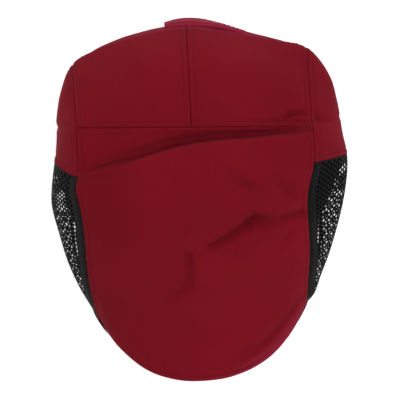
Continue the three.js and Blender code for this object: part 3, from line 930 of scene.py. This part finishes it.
class Nodes:
    """Short ways to add and join the nodes of one material."""

    def __init__(self, name):
        self.material = bpy.data.materials.new(name)
        self.material.use_nodes = True
        self.tree = self.material.node_tree
        self.shader = self.tree.nodes["Principled BSDF"]

    def add(self, kind, **settings):
        node = self.tree.nodes.new(kind)
        for key, value in settings.items():
            setattr(node, key, value)
        return node

    def link(self, source, target):
        self.tree.links.new(source, target)

    def math(self, operation, first, second=None):
        node = self.add("ShaderNodeMath", operation=operation)
        for socket, value in zip(node.inputs, (first, second)):
            if value is None:
                continue
            if isinstance(value, (int, float)):
                socket.default_value = value
            else:
                self.link(value, socket)
        return node.outputs[0]

    def total(self, *parts):
        """The sum of values, each times its share."""
        total = None
        for value, share in parts:
            part = self.math("MULTIPLY", value, share)
            total = part if total is None else self.math("ADD", total, part)
        return total

    def product(self, first, *others):
        for other in others:
            first = self.math("MULTIPLY", first, other)
        return first

    def waves(self, place, pitch):
        return self.math("SINE", self.math("MULTIPLY", place, 2 * math.pi / pitch))

    def split(self, vector):
        node = self.add("ShaderNodeSeparateXYZ")
        self.link(vector, node.inputs[0])
        return node.outputs

    def attribute(self, name):
        return self.add("ShaderNodeAttribute", attribute_name=name).outputs["Fac"]

    def place(self):
        return self.add("ShaderNodeTexCoord").outputs["Object"]

    def cloth(self):
        return self.add("ShaderNodeUVMap", uv_map="cloth").outputs["UV"]

    def noise(self, vector, scale, detail, roughness=0.5):
        node = self.add("ShaderNodeTexNoise")
        node.inputs["Scale"].default_value = scale
        node.inputs["Detail"].default_value = detail
        node.inputs["Roughness"].default_value = roughness
        self.link(vector, node.inputs["Vector"])
        return node.outputs["Fac"]

    def remap(self, value, from_low, from_high, to_low, to_high):
        node = self.add("ShaderNodeMapRange")
        ends = {"From Min": from_low, "From Max": from_high, "To Min": to_low, "To Max": to_high}
        for key, number in ends.items():
            node.inputs[key].default_value = number
        self.link(value, node.inputs["Value"])
        return node.outputs["Result"]

    def mix(self, factor, first, second, blend="MIX"):
        node = self.add("ShaderNodeMix", data_type="RGBA", blend_type=blend)
        for key, value in (("Factor", factor), ("A", first), ("B", second)):
            socket = next(s for s in node.inputs if s.name == key and s.enabled)
            if hasattr(value, "is_linked"):
                self.link(value, socket)
            elif isinstance(value, (int, float)):
                socket.default_value = value
            else:
                socket.default_value = (*value, 1.0)
        return next(s for s in node.outputs if s.enabled)

    def bump(self, height, strength, distance):
        node = self.add("ShaderNodeBump")
        node.inputs["Strength"].default_value = strength
        node.inputs["Distance"].default_value = distance
        self.link(height, node.inputs["Height"])
        self.link(node.outputs["Normal"], self.shader.inputs["Normal"])


def scaled(colour, factor):
    return tuple(channel * factor for channel in colour)


def twill_material(name, colour, painted_sheen_colour):
    """Cotton twill: diagonal ribs crossed by fine yarns, slubs, uneven dye and a fuzzy sheen, darkened by
    painted shade where the shade attribute says and lightened towards a painted sheen colour where the pale
    attribute says.
    """
    n = Nodes(name)
    rib_pitch, yarn_pitch = 0.00085, 0.00042
    uv = n.cloth()
    u, v, _ = n.split(uv)
    ribs = n.waves(n.total((u, 0.82), (v, 0.57)), rib_pitch)
    weave = n.total((ribs, 0.7), (n.waves(v, yarn_pitch), 0.3))
    turned = n.add("ShaderNodeMapping")
    turned.inputs["Rotation"].default_value = (0, 0, math.radians(35))
    turned.inputs["Scale"].default_value = (900, 90, 1)
    n.link(uv, turned.inputs["Vector"])
    slubs = n.noise(turned.outputs[0], 1.0, 3.0)
    place = n.place()
    dye = n.noise(place, 22.0, 4.0)
    broad = n.noise(place, 7.0, 2.0)
    dark = n.attribute("shade")
    tone = n.mix(n.remap(dye, 0.3, 0.7, 0.0, 1.0), scaled(colour, 0.93), scaled(colour, 1.06))
    # Painted sheen: paler and pinker where the pale attribute says
    tone = n.mix(n.math("MULTIPLY", n.attribute("pale"), 0.8), tone, painted_sheen_colour)
    lightness = n.product(
        n.remap(slubs, 0.3, 0.7, 0.93, 1.06),
        n.remap(weave, -1.0, 1.0, 0.9, 1.08),
        n.remap(broad, 0.35, 0.65, 0.95, 1.04),
        # Painted shade, from the shade attribute
        n.remap(dark, 0.0, 1.0, 1.0, 0.65),
    )
    grey = n.add("ShaderNodeCombineColor")
    for socket in grey.inputs[:3]:
        n.link(lightness, socket)
    n.link(n.mix(1.0, tone, grey.outputs[0], "MULTIPLY"), n.shader.inputs["Base Color"])
    n.link(n.remap(slubs, 0.3, 0.7, 0.82, 0.95), n.shader.inputs["Roughness"])
    fuzz = n.noise(uv, 2600.0, 2.0)
    n.bump(n.total((weave, 0.5), (fuzz, 0.6), (slubs, 0.5)), 0.35, 0.00025)
    n.shader.inputs["Specular IOR Level"].default_value = 0.08
    # Painted shade also takes the sheen away
    n.link(n.remap(dark, 0.0, 0.8, 0.115, 0.0), n.shader.inputs["Sheen Weight"])
    n.shader.inputs["Sheen Roughness"].default_value = 0.22
    n.shader.inputs["Sheen Tint"].default_value = (1.0, 0.33, 0.52, 1.0)
    return n.material


def net_material(name, colour):
    """Knitted polyester net: black loops with a dull gloss."""
    n = Nodes(name)
    knit_pitch = 0.0006
    uv = n.cloth()
    u, v, _ = n.split(uv)
    knit = n.product(n.waves(u, knit_pitch), n.waves(v, knit_pitch))
    fuzz = n.noise(uv, 1800.0, 3.0)
    tone = n.mix(n.remap(fuzz, 0.3, 0.7, 0.0, 1.0), scaled(colour, 0.7), scaled(colour, 1.5))
    n.link(tone, n.shader.inputs["Base Color"])
    n.link(n.remap(knit, -1.0, 1.0, 0.5, 0.72), n.shader.inputs["Roughness"])
    n.bump(n.math("ADD", knit, fuzz), 0.4, 0.0002)
    n.shader.inputs["Specular IOR Level"].default_value = 0.08
    return n.material


def thread_material(name, colour):
    """Twisted sewing thread."""
    n = Nodes(name)
    place = n.place()
    twist = n.add("ShaderNodeTexWave", wave_type="BANDS", bands_direction="DIAGONAL")
    twist.inputs["Scale"].default_value = 900.0
    twist.inputs["Distortion"].default_value = 1.5
    n.link(place, twist.inputs["Vector"])
    tone = n.mix(twist.outputs["Fac"], scaled(colour, 0.75), scaled(colour, 1.25))
    n.link(tone, n.shader.inputs["Base Color"])
    n.link(n.remap(twist.outputs["Fac"], 0.0, 1.0, 0.5, 0.7), n.shader.inputs["Roughness"])
    n.bump(twist.outputs["Fac"], 0.4, 0.0001)
    n.shader.inputs["Specular IOR Level"].default_value = 0.1
    return n.material


def floor_material(name, colour):
    """Matte paper that glows a little by itself, painted light that washes out the cap's shadow on it, but
    not where the cap stands on it.
    """
    n = Nodes(name)
    place = n.place()
    mottle = n.noise(place, 3.0, 3.0)
    n.link(n.mix(mottle, scaled(colour, 0.995), colour), n.shader.inputs["Base Color"])
    n.shader.inputs["Roughness"].default_value = 0.9
    n.shader.inputs["Specular IOR Level"].default_value = 0.1
    # The glow is painted light
    n.shader.inputs["Emission Color"].default_value = (*colour, 1.0)
    reach = []
    for value, size in zip(n.split(place), (HALF_WIDTH, HALF_LENGTH)):
        share = n.math("ABSOLUTE", n.math("DIVIDE", value, size * MM))
        reach.append(n.math("POWER", share, HEAD_SQUARENESS))
    n.link(n.remap(n.math("ADD", *reach), 0.95, 1.05, 0.0, 0.62), n.shader.inputs["Emission Strength"])
    return n.material


# The finishes made so far
MATERIALS = {}


def material(kind):
    """The cap's finishes, each made once."""
    if kind not in MATERIALS:
        c = colours()
        makers = {
            "twill": lambda: twill_material("burgundy_twill", tuple(c.twill), tuple(c.painted_sheen_colour)),
            "visor": lambda: twill_material("visor_twill", scaled(c.twill, 0.96), tuple(c.painted_sheen_colour)),
            "tape": lambda: twill_material("folded_twill_tape", scaled(c.twill, 0.95), tuple(c.painted_sheen_colour)),
            "net": lambda: net_material("black_net", tuple(c.net)),
            "lining": lambda: net_material("black_lining", scaled(c.net, 0.4)),
            "thread": lambda: thread_material("burgundy_thread", tuple(c.thread)),
            "net_thread": lambda: thread_material("dark_thread", scaled(c.thread, 0.15)),
            "floor": lambda: floor_material("pale_paper", tuple(c.floor)),
        }
        MATERIALS[kind] = makers[kind]()
    return MATERIALS[kind]


class CAP_OT_top_panel(bpy.types.Operator):
    """Build the long top panel, from the back seam over the crown and round the visor's edge"""

    bl_idname = "cap.top_panel"
    bl_label = "Top panel"

    def execute(self, context):
        sections = spread_sections(section_of("seam"), LAST_SECTION, 1.5, True, False)
        places = spread_places(sections, LEFT_SEAM, RIGHT_SEAM, 96)
        seams = {"back": 11, "left": 12, "right": 13}
        obj = panel("cloth_top", "top_panel", sections, places, seams, 11, front_wrap=True)
        return {"FINISHED"}


class CAP_OT_back_panels(bpy.types.Operator):
    """Build the two back panels, either side of the centre back seam"""

    bl_idname = "cap.back_panels"
    bl_label = "Back panels"

    def execute(self, context):
        for name, start, end, seed in (
            ("left", LEFT_SEAM, CENTRE, 23),
            ("right", CENTRE, RIGHT_SEAM, 31),
        ):
            sections = spread_sections(0, section_of("seam"), 1.5, False, True)
            places = spread_places(sections, start, end, 44)
            seams = {"front": seed, "left": seed + 2, "right": seed + 3}
            node = "back_panel_" + name
            obj = panel("cloth_back_" + name, node, sections, places, seams, seed, hem=("back",))
        return {"FINISHED"}


SIDE_EDGES = {"left": section_of("lip"), "right": section_of("crown")}
SIDE_PLACES = {"left": (LEFT_FOOT, LEFT_SEAM), "right": (RIGHT_SEAM, RIGHT_FOOT)}
SEAM_EDGE = {"left": "right", "right": "left"}


class CAP_OT_side_bands(bpy.types.Operator):
    """Build the cloth sides behind the net"""

    bl_idname = "cap.side_bands"
    bl_label = "Side bands"

    def execute(self, context):
        for side, seed in (("left", 41), ("right", 47)):
            sections = spread_sections(0, SIDE_EDGES[side], 1.6, False, True)
            places = spread_places(sections, *SIDE_PLACES[side], 20)
            seams = {"front": seed, SEAM_EDGE[side]: seed + 1}
            hem = ("back", side)
            obj = panel("cloth_side_" + side, "side_band_" + side, sections, places, seams, seed, hem=hem)
        return {"FINISHED"}


# How far the net lies under the crown's surface
NET_SUNK = 0.15


class NetPatch:
    """One side's net area, unrolled: along is counted down the seam and down across it, in millimetres."""

    def __init__(self, side):
        self.side = side
        self.sections = np.linspace(SIDE_EDGES[side], LAST_SECTION, 221)
        seam, foot = (LEFT_SEAM, LEFT_FOOT) if side == "left" else (RIGHT_SEAM, RIGHT_FOOT)
        self.places = np.linspace(seam, foot, 81)
        grid = crown(self.sections, np.broadcast_to(self.places, (len(self.sections), len(self.places))))
        self.along = distances(grid[:, :1], 0)[:, 0]
        self.down = distances(grid, 1)
        self.length = self.along[-1]

    def depth(self, along):
        """How far down the net reaches at places along the seam."""
        return np.interp(along, self.along, self.down[:, -1])

    def locate(self, along, down):
        """Sections and places of unrolled points."""
        row = np.interp(along, self.along, np.arange(len(self.along)))
        low = np.clip(row.astype(int), 0, len(self.along) - 2)
        weight = (row - low)[:, None]
        run = self.down[low] * (1 - weight) + self.down[low + 1] * weight
        index = np.clip((run < down[:, None]).sum(axis=1) - 1, 0, run.shape[1] - 2)
        pick = np.arange(len(run))
        span = np.maximum(run[pick, index + 1] - run[pick, index], 1e-6)
        part = np.clip((down - run[pick, index]) / span, 0, 1)
        section = np.interp(row, np.arange(len(self.sections)), self.sections)
        return section, self.places[0] + (index + part) * (self.places[1] - self.places[0])

    def surface(self, along, down):
        """Points and outward directions of unrolled points."""
        return surface(*self.locate(along, down))


def net_cells(patch, pitch, hole, solid):
    """Unrolled points and faces of the net: six-sided cells, each round a hole."""
    sides = 18
    row_step = pitch * math.sqrt(3) / 2
    radius = pitch / math.sqrt(3)
    turns = 2 * math.pi * np.arange(sides) / sides + math.pi / 6
    from_corner = (turns - math.pi / 6) % (math.pi / 3) - math.pi / 6
    reach = radius * math.cos(math.pi / 6) / np.cos(from_corner)
    ring = np.stack([np.cos(turns), np.sin(turns)], axis=-1)
    outline = ring * reach[:, None]
    deepest = patch.down[:, -1].max()
    points, faces = [], []
    for j in range(-1, int(deepest / row_step) + 2):
        for i in range(-1, int(patch.length / pitch) + 2):
            centre = np.array([(i + 0.5 * (j % 2)) * pitch, j * row_step])
            limit = patch.depth(np.clip(centre[0], 0, patch.length))
            inside = min(centre[0], patch.length - centre[0], limit - centre[1])
            if min(inside, centre[1]) < -radius:
                continue
            first = len(points)
            points += list(centre + outline)
            if inside > hole / 2 + 0.3 and centre[1] > solid + hole / 2:
                points += list(centre + ring * hole / 2)
                for n in range(sides):
                    m = (n + 1) % sides
                    faces.append([first + n, first + m, first + sides + m, first + sides + n])
            else:
                points.append(centre)
                faces += [[first + n, first + (n + 1) % sides, first + sides] for n in range(sides)]
    return np.array(points), faces


def build_net(side):
    s = sizes()
    patch = NetPatch(side)
    flat, faces = net_cells(patch, s.net_pitch / MM, s.net_hole / MM, s.tape_width / MM)
    along_net = np.clip(flat[:, 0], 0.1, patch.length)
    down = np.clip(flat[:, 1], 0.1, patch.depth(along_net))
    points, facing = patch.surface(along_net, down)
    calm = np.clip(np.minimum(down, patch.depth(along_net) - down) / 8, 0, 1)
    wave = undulation(points, 61 if side == "left" else 67, 25, 60, 0.25) * calm
    points = points + facing * (wave - NET_SUNK)[:, None]
    if side == "left":
        faces = [face[::-1] for face in faces]
    obj = new_object("net_" + side, points, faces)
    add_uv(obj, np.stack([along_net, down], axis=-1))
    merge_doubles(obj, 0.03)
    apply_modifier(obj, "SOLIDIFY", thickness=s.net_wall, offset=-1.0, use_even_offset=False)
    merge_doubles(obj, 0.005)
    smooth_by_angle(obj, 75)
    dress(obj, "net", "mesh_" + side)
    return obj, patch


def backing(name, patch, along_run, down_run, behind, wall, flip):
    """A sheet behind the net, over the unrolled places that two runs make together."""
    a, d = np.broadcast_arrays(along_run, down_run)
    points, facing = patch.surface(a.ravel(), d.ravel())
    points, facing = points.reshape(*a.shape, 3), facing.reshape(*a.shape, 3)
    outer = points - facing * behind
    inner = points - facing * (behind + wall)
    if flip:
        outer, inner = outer[::-1], inner[::-1]
    uv = np.stack([distances(outer, 0), distances(outer, 1)], axis=-1)
    return shell(name, outer, inner, uv, np.zeros(outer.shape[:2]))


def build_tape(side, patch):
    """Black tape behind the net, along its top seam, its foot and its back seam."""
    s = sizes()
    width = s.tape_width / MM
    wall = 0.6
    behind = NET_SUNK + s.net_wall / MM + 0.35
    lengthwise = np.linspace(0.3, patch.length - 0.5, 90)[:, None]
    depth = patch.depth(lengthwise)
    most = np.minimum(width, depth * 0.48)
    across = np.linspace(0, 1, 7)
    back = np.linspace(0, 1, 60)[:, None] * (patch.depth(0.3) - 1.0) + 0.5
    strips = [
        (lengthwise, 0.2 + across * (most - 0.2)),
        (lengthwise, depth - 0.2 - across[::-1] * (most * 0.6 - 0.4)),
        (0.3 + across * width * 0.4, back),
    ]
    parts = []
    for number, (a, d) in enumerate(strips):
        flip = (side == "left") != (number == 2)
        parts.append(backing(f"tape_{side}_{number}", patch, a, d, behind, wall, flip))
    dress(join(parts, "net_tape_" + side), "net")


def build_net_end(side):
    """The net's selvedge where it narrows to nothing along the visor's edge."""
    sign = -1 if side == "left" else 1
    length = 19.0
    thin, tall = 1.25, 2.6
    sides, rows = 10, 31
    share = np.linspace(0, 1, rows)
    start = along(STRIP[-1][side + "_along"]) + 7
    y = start - share * length
    x = np.array([visor_across(value) for value in y]) - 0.4
    middle = np.stack([sign * x, y, visor_edge_up(y)], axis=-1)
    turn = 2 * math.pi * np.arange(sides) / sides
    taper = np.sqrt(np.clip((1 - share) * np.minimum(1, share / 0.3), 0.01, 1))[:, None]
    ring = np.stack([np.cos(turn) * thin, np.zeros(sides), np.sin(turn) * tall], axis=-1)
    verts = (middle[:, None] + ring[None] * taper[..., None]).reshape(-1, 3)
    faces = [
        [r * sides + n, r * sides + (n + 1) % sides, (r + 1) * sides + (n + 1) % sides, (r + 1) * sides + n]
        for r in range(rows - 1) for n in range(sides)
    ]
    faces += [list(range(sides))[::-1], [(rows - 1) * sides + n for n in range(sides)]]
    obj = new_object("net_end_" + side, verts, faces)
    add_uv(obj, np.stack([verts[:, 1], verts[:, 2]], axis=-1))
    edit_all(obj, (bpy.ops.mesh.normals_make_consistent, {"inside": False}))
    smooth_by_angle(obj, 60)
    dress(obj, "net")


def build_lining(side, patch):
    """Black lining that backs the net next to the cloth side."""
    forward, out_share = zip(*LINING[side])
    lengthwise = np.linspace(0.3, forward[-1], 40)
    reach = np.interp(lengthwise, forward, out_share) * HALF_WIDTH
    limit = []
    for a, x in zip(lengthwise, reach):
        down = np.linspace(0, patch.depth(a) * 0.6, 60)
        points, _ = patch.surface(np.full(60, a), down)
        out = np.maximum.accumulate(np.abs(points[:, 0]))
        limit.append(np.interp(x, out, down))
    down = 0.3 + np.linspace(0, 1, 16) * (np.array(limit)[:, None] - 0.3)
    obj = backing("net_lining_" + side, patch, lengthwise[:, None], down, 2.1, 0.5, side == "left")
    dress(obj, "lining")


# Rows to be sewn through the nets, and through the strap and headband
NET_LINES = []
STITCH_LINES = []


class CAP_OT_nets(bpy.types.Operator):
    """Build the open nets of both sides with the tape behind their seams"""

    bl_idname = "cap.nets"
    bl_label = "Nets"

    def execute(self, context):
        for side in ("left", "right"):
            obj, patch = build_net(side)
            build_tape(side, patch)
            build_lining(side, patch)
            build_net_end(side)
            run = np.linspace(2, patch.length - 6, 120)
            points, facing = patch.surface(run, np.full(len(run), sizes().tape_width / MM / 2))
            NET_LINES.append((points, facing))
        return {"FINISHED"}


class CAP_OT_visor(bpy.types.Operator):
    """Build the stiff visor that the top panel covers"""

    bl_idname = "cap.visor"
    bl_label = "Visor"

    def execute(self, context):
        outer_turn, inner_turn = math.radians(83), math.radians(71)
        share = np.linspace(-1, 1, 121)
        edge = np.stack(visor_curve(np.sign(share), np.abs(share) * outer_turn, VISOR_INSET), axis=-1)
        rim = np.stack(rim_curve(share * inner_turn - math.pi / 2, GAP), axis=-1)
        out = np.linspace(0, 1, 25)[:, None, None]
        plan = rim * (1 - out) + edge * out
        low = VISOR_LIFT + (visor_edge_up(edge[:, 1]) - VISOR_WALL / 2 - VISOR_LIFT) * out[..., 0] ** 1.3
        points = np.concatenate([plan, (low + VISOR_WALL)[..., None]], axis=-1)[::-1]
        obj = grid_piece("visor_board", points)
        apply_modifier(obj, "SOLIDIFY", thickness=VISOR_WALL * MM, offset=-1.0, use_even_offset=True)
        round_edges(obj, 0.9)
        dress(obj, "visor", "visor")
        return {"FINISHED"}


class CAP_OT_headband(bpy.types.Operator):
    """Build the folded tape round the head opening"""

    bl_idname = "cap.headband"
    bl_label = "Headband"

    def execute(self, context):
        turn = np.linspace(0, 2 * math.pi, 193)[None, :] - math.pi / 2
        up = np.linspace(0, 1, 13)[:, None]
        sag = 0.3 * np.sin(5 * turn + 0.7) * up
        x, y = rim_curve(turn, -BAND_LEAN * up + sag)
        z = BAND_HEIGHT * up + 0.35 * np.sin(7 * turn) * up ** 3 - 0.35 * up ** 3
        points = np.stack(np.broadcast_arrays(x, y, z), axis=-1)[::-1]
        inward = -normals(points)
        for row in (2, 10):
            STITCH_LINES.append((points[row] + inward[row] * BAND_WALL, inward[row]))
        obj = grid_piece("sweatband", points)
        merge_doubles(obj, 0.02)
        apply_modifier(obj, "SOLIDIFY", thickness=BAND_WALL * MM, offset=-1.0, use_even_offset=False)
        floor_level(obj)
        round_edges(obj, 0.7)
        dress(obj, "tape", "headband")
        return {"FINISHED"}


def floor_level(obj):
    """Flattens the lowest ring of a piece on the floor."""
    for vertex in obj.data.vertices:
        if vertex.co.z < 0.8 * MM:
            vertex.co.z = 0.0


class CAP_OT_strap(bpy.types.Operator):
    """Build the adjuster tab that stands off the hem behind"""

    bl_idname = "cap.strap"
    bl_label = "Strap"

    def execute(self, context):
        run = np.array([(place, flare, 0.0) for place, flare in STRAP])
        at = spline(run[None], np.linspace(0, len(run) - 1, 61)[None])[0]
        place, flare = at[:, 0], np.maximum(at[:, 1], 0) * STRAP_FLARE
        roll = crown(np.array([float(section_of("roll"))]), place[None])[0]
        tangent = np.gradient(roll, axis=0)
        away = np.stack([-tangent[:, 1], tangent[:, 0], np.zeros(len(roll))], axis=-1)
        away /= np.linalg.norm(away, axis=1, keepdims=True)
        bulges = crown(np.array(HEM_TO_ROLL), np.broadcast_to(place, (len(HEM_TO_ROLL), len(place))))
        proud = np.maximum(((bulges - roll) * away).sum(axis=-1).max(axis=0), 0)
        up = np.linspace(0, 1, 13)[:, None]
        tucked = 2.2 * np.clip((up - 0.55) / 0.45, 0, 1) ** 2
        sewn_down = 1.3 * np.clip((np.linspace(0, 1, len(roll)) - 0.65) / 0.3, 0, 1)
        off = proud + GAP + flare * (1 - up) + STRAP_WALL - tucked - sewn_down
        points = roll[None] + away[None] * off[..., None]
        points[..., 2] = STRAP_LIFT + STRAP_HEIGHT * up
        for row in (2, 10):
            STITCH_LINES.append((points[row, 2:-2], away[2:-2]))
        for column in (2, -3):
            STITCH_LINES.append((points[2:11, column], np.broadcast_to(away[column], (9, 3))))
        obj = grid_piece("strap_tab", points)
        # The whole strap takes the painted sheen colour, a painted highlight of its steep cloth
        add_attribute(obj, "pale", np.full(len(obj.data.vertices), 1.0))
        apply_modifier(obj, "SOLIDIFY", thickness=STRAP_WALL * MM, offset=-1.0, use_even_offset=True)
        round_edges(obj, 0.55)
        dress(obj, "tape", "back_strap")
        return {"FINISHED"}


def tape_behind(name, section, place):
    """A thin tape on the inside of the cloth, over a grid of sections and places."""
    points, facing = surface(section, place)
    outer = points - facing * (CLOTH + 0.15)
    inner = outer - facing * 0.5
    uv = np.stack([distances(outer, 1), -distances(outer, 0)], axis=-1)
    return shell(name, outer, inner, uv, np.zeros(section.shape))


def lengthwise_tape(name, start, end, seam, width):
    """Tape behind a seam that runs from back to front."""
    section = np.linspace(start, end, int((end - start) * 24))
    reach = np.linspace(seam - 0.9, seam + 0.9, 91)
    run = distances(crown(section, np.broadcast_to(reach, (len(section), len(reach)))), 1)
    offsets = np.linspace(-width / 2, width / 2, 7)
    place = np.array([np.interp(row[len(reach) // 2] + offsets, row, reach) for row in run])
    return tape_behind(name, np.broadcast_to(section[:, None], place.shape), place)


def crosswise_tape(name, seam, start, end, width):
    """Tape behind a seam that runs from side to side."""
    place = np.linspace(start, end, int((end - start) * 24))
    reach = np.linspace(seam - 0.5, seam + 0.5, 61)
    run = distances(crown(reach, np.broadcast_to(place, (len(reach), len(place)))), 0)
    offsets = np.linspace(-width / 2, width / 2, 7)
    middle = len(reach) // 2
    section = np.array([np.interp(column[middle] + offsets, column, reach) for column in run.T]).T
    return tape_behind(name, section, np.broadcast_to(place, section.shape))


class CAP_OT_seam_tapes(bpy.types.Operator):
    """Cover the inside of the cloth's seams with tape"""

    bl_idname = "cap.seam_tapes"
    bl_label = "Seam tapes"

    def execute(self, context):
        width = 8.0
        seam = section_of("seam")
        parts = [
            lengthwise_tape("tape_centre", 0.05, seam + 0.1, CENTRE, width),
            crosswise_tape("tape_back", seam, LEFT_SEAM, RIGHT_SEAM, width),
            lengthwise_tape("tape_left", 0.05, SIDE_EDGES["left"], LEFT_SEAM, width),
            lengthwise_tape("tape_right", 0.05, SIDE_EDGES["right"], RIGHT_SEAM, width),
        ]
        dress(join(parts, "seam_tapes"), "tape")
        return {"FINISHED"}


class CAP_OT_topstitching(bpy.types.Operator):
    """Sew the rows of topstitching along the seams"""

    bl_idname = "cap.topstitching"
    bl_label = "Topstitching"

    def execute(self, context):
        inset = sizes().stitch_inset / MM
        seams = (
            "top back", "top left", "top right", "back_left left", "back_right right", "back_left front",
            "back_left right", "back_right front", "back_right left", "side_left front", "side_left right",
            "side_right front", "side_right left",
        )
        hems = {"back_left": "back", "back_right": "back", "side_left": "left", "side_right": "right"}
        lines = [line_on("cloth_" + name, edge, inset) for name, edge in map(str.split, seams)]
        above_hem = HEM_BAND + 2.4
        lines += [line_on("cloth_" + name, edge, above_hem) for name, edge in hems.items()]
        under = PANELS["cloth_top"]["outer"][-2, 20:-20]
        lines.append((under, np.broadcast_to((0.0, 0.0, -1.0), under.shape)))
        sew("topstitching", lines + STITCH_LINES, "thread")
        sew("net_stitching", NET_LINES, "net_thread")
        return {"FINISHED"}


# The camera looks straight down, turned as the photo is, from far enough to see no slant
VIEW_CENTRE = (3.3, -25.6)
VIEW_WIDTH = 280.0
VIEW_LEVEL = 30.0
VIEW_TURN = math.radians(-3.0)
CAMERA_HEIGHT = 6.0
SENSOR = 36.0


class CAP_OT_stage(bpy.types.Operator):
    """Lay the floor and set up the lights and the camera"""

    bl_idname = "cap.stage"
    bl_label = "Stage"

    def execute(self, context):
        scene = context.scene
        bpy.ops.object.select_all(action="DESELECT")
        bpy.ops.mesh.primitive_plane_add(size=12)
        floor = context.object
        floor.name = "floor"
        floor.data.materials.append(material("floor"))

        camera = bpy.data.cameras.new("camera")
        camera.lens = SENSOR * (CAMERA_HEIGHT - VIEW_LEVEL * MM) / (VIEW_WIDTH * MM)
        camera.sensor_width = SENSOR
        camera.clip_end = 100
        viewer = bpy.data.objects.new("camera", camera)
        viewer.location = (VIEW_CENTRE[0] * MM, VIEW_CENTRE[1] * MM, CAMERA_HEIGHT)
        viewer.rotation_euler = (0, 0, VIEW_TURN)
        scene.collection.objects.link(viewer)
        scene.camera = viewer

        world = bpy.data.worlds.new("studio")
        world.use_nodes = True
        background = world.node_tree.nodes["Background"]
        background.inputs["Color"].default_value = (1.0, 1.0, 1.0, 1.0)
        background.inputs["Strength"].default_value = 0.6
        scene.world = world

        for name, place, size, power in (
            ("key", (0.3, 0.12, 2.3), 1.5, 23.8),
            ("back", (-0.2, 1.9, 1.1), 1.2, 1.5),
        ):
            light = bpy.data.lights.new(name, "AREA")
            light.energy = power
            light.size = size
            lamp = bpy.data.objects.new(name, light)
            lamp.location = place
            aim = -np.array(place) + (0, 0, 0.03)
            lamp.rotation_mode = "QUATERNION"
            lamp.rotation_quaternion = Vector(aim).to_track_quat("-Z", "Y")
            scene.collection.objects.link(lamp)
        scene.view_settings.view_transform = "Standard"
        return {"FINISHED"}


OPERATORS = (
    CAP_OT_stage,
    CAP_OT_top_panel,
    CAP_OT_back_panels,
    CAP_OT_side_bands,
    CAP_OT_nets,
    CAP_OT_visor,
    CAP_OT_headband,
    CAP_OT_strap,
    CAP_OT_seam_tapes,
    CAP_OT_topstitching,
)


class CAP_PT_panel(bpy.types.Panel):
    """The cap's sizes, colours and building steps"""

    bl_label = "Flat cap"
    bl_idname = "CAP_PT_panel"
    bl_space_type = "VIEW_3D"
    bl_region_type = "UI"
    bl_category = "Cap"

    def draw(self, context):
        layout = self.layout
        for group in (context.scene.cap_sizes, context.scene.cap_colours):
            box = layout.box()
            for key in type(group).__annotations__:
                box.prop(group, key)
        for operator in OPERATORS:
            layout.operator(operator.bl_idname)


CLASSES = (CapSizes, CapColours, *OPERATORS, CAP_PT_panel)


def register():
    for cls in CLASSES:
        bpy.utils.register_class(cls)
    bpy.types.Scene.cap_sizes = bpy.props.PointerProperty(type=CapSizes)
    bpy.types.Scene.cap_colours = bpy.props.PointerProperty(type=CapColours)


def unregister():
    del bpy.types.Scene.cap_colours
    del bpy.types.Scene.cap_sizes
    for cls in reversed(CLASSES):
        bpy.utils.unregister_class(cls)


def main():
    register()
    bpy.ops.cap.stage()
    bpy.ops.cap.top_panel()
    bpy.ops.cap.back_panels()
    bpy.ops.cap.side_bands()
    bpy.ops.cap.nets()
    bpy.ops.cap.visor()
    bpy.ops.cap.headband()
    bpy.ops.cap.strap()
    bpy.ops.cap.seam_tapes()
    bpy.ops.cap.topstitching()


if __name__ == "__main__":
    main()
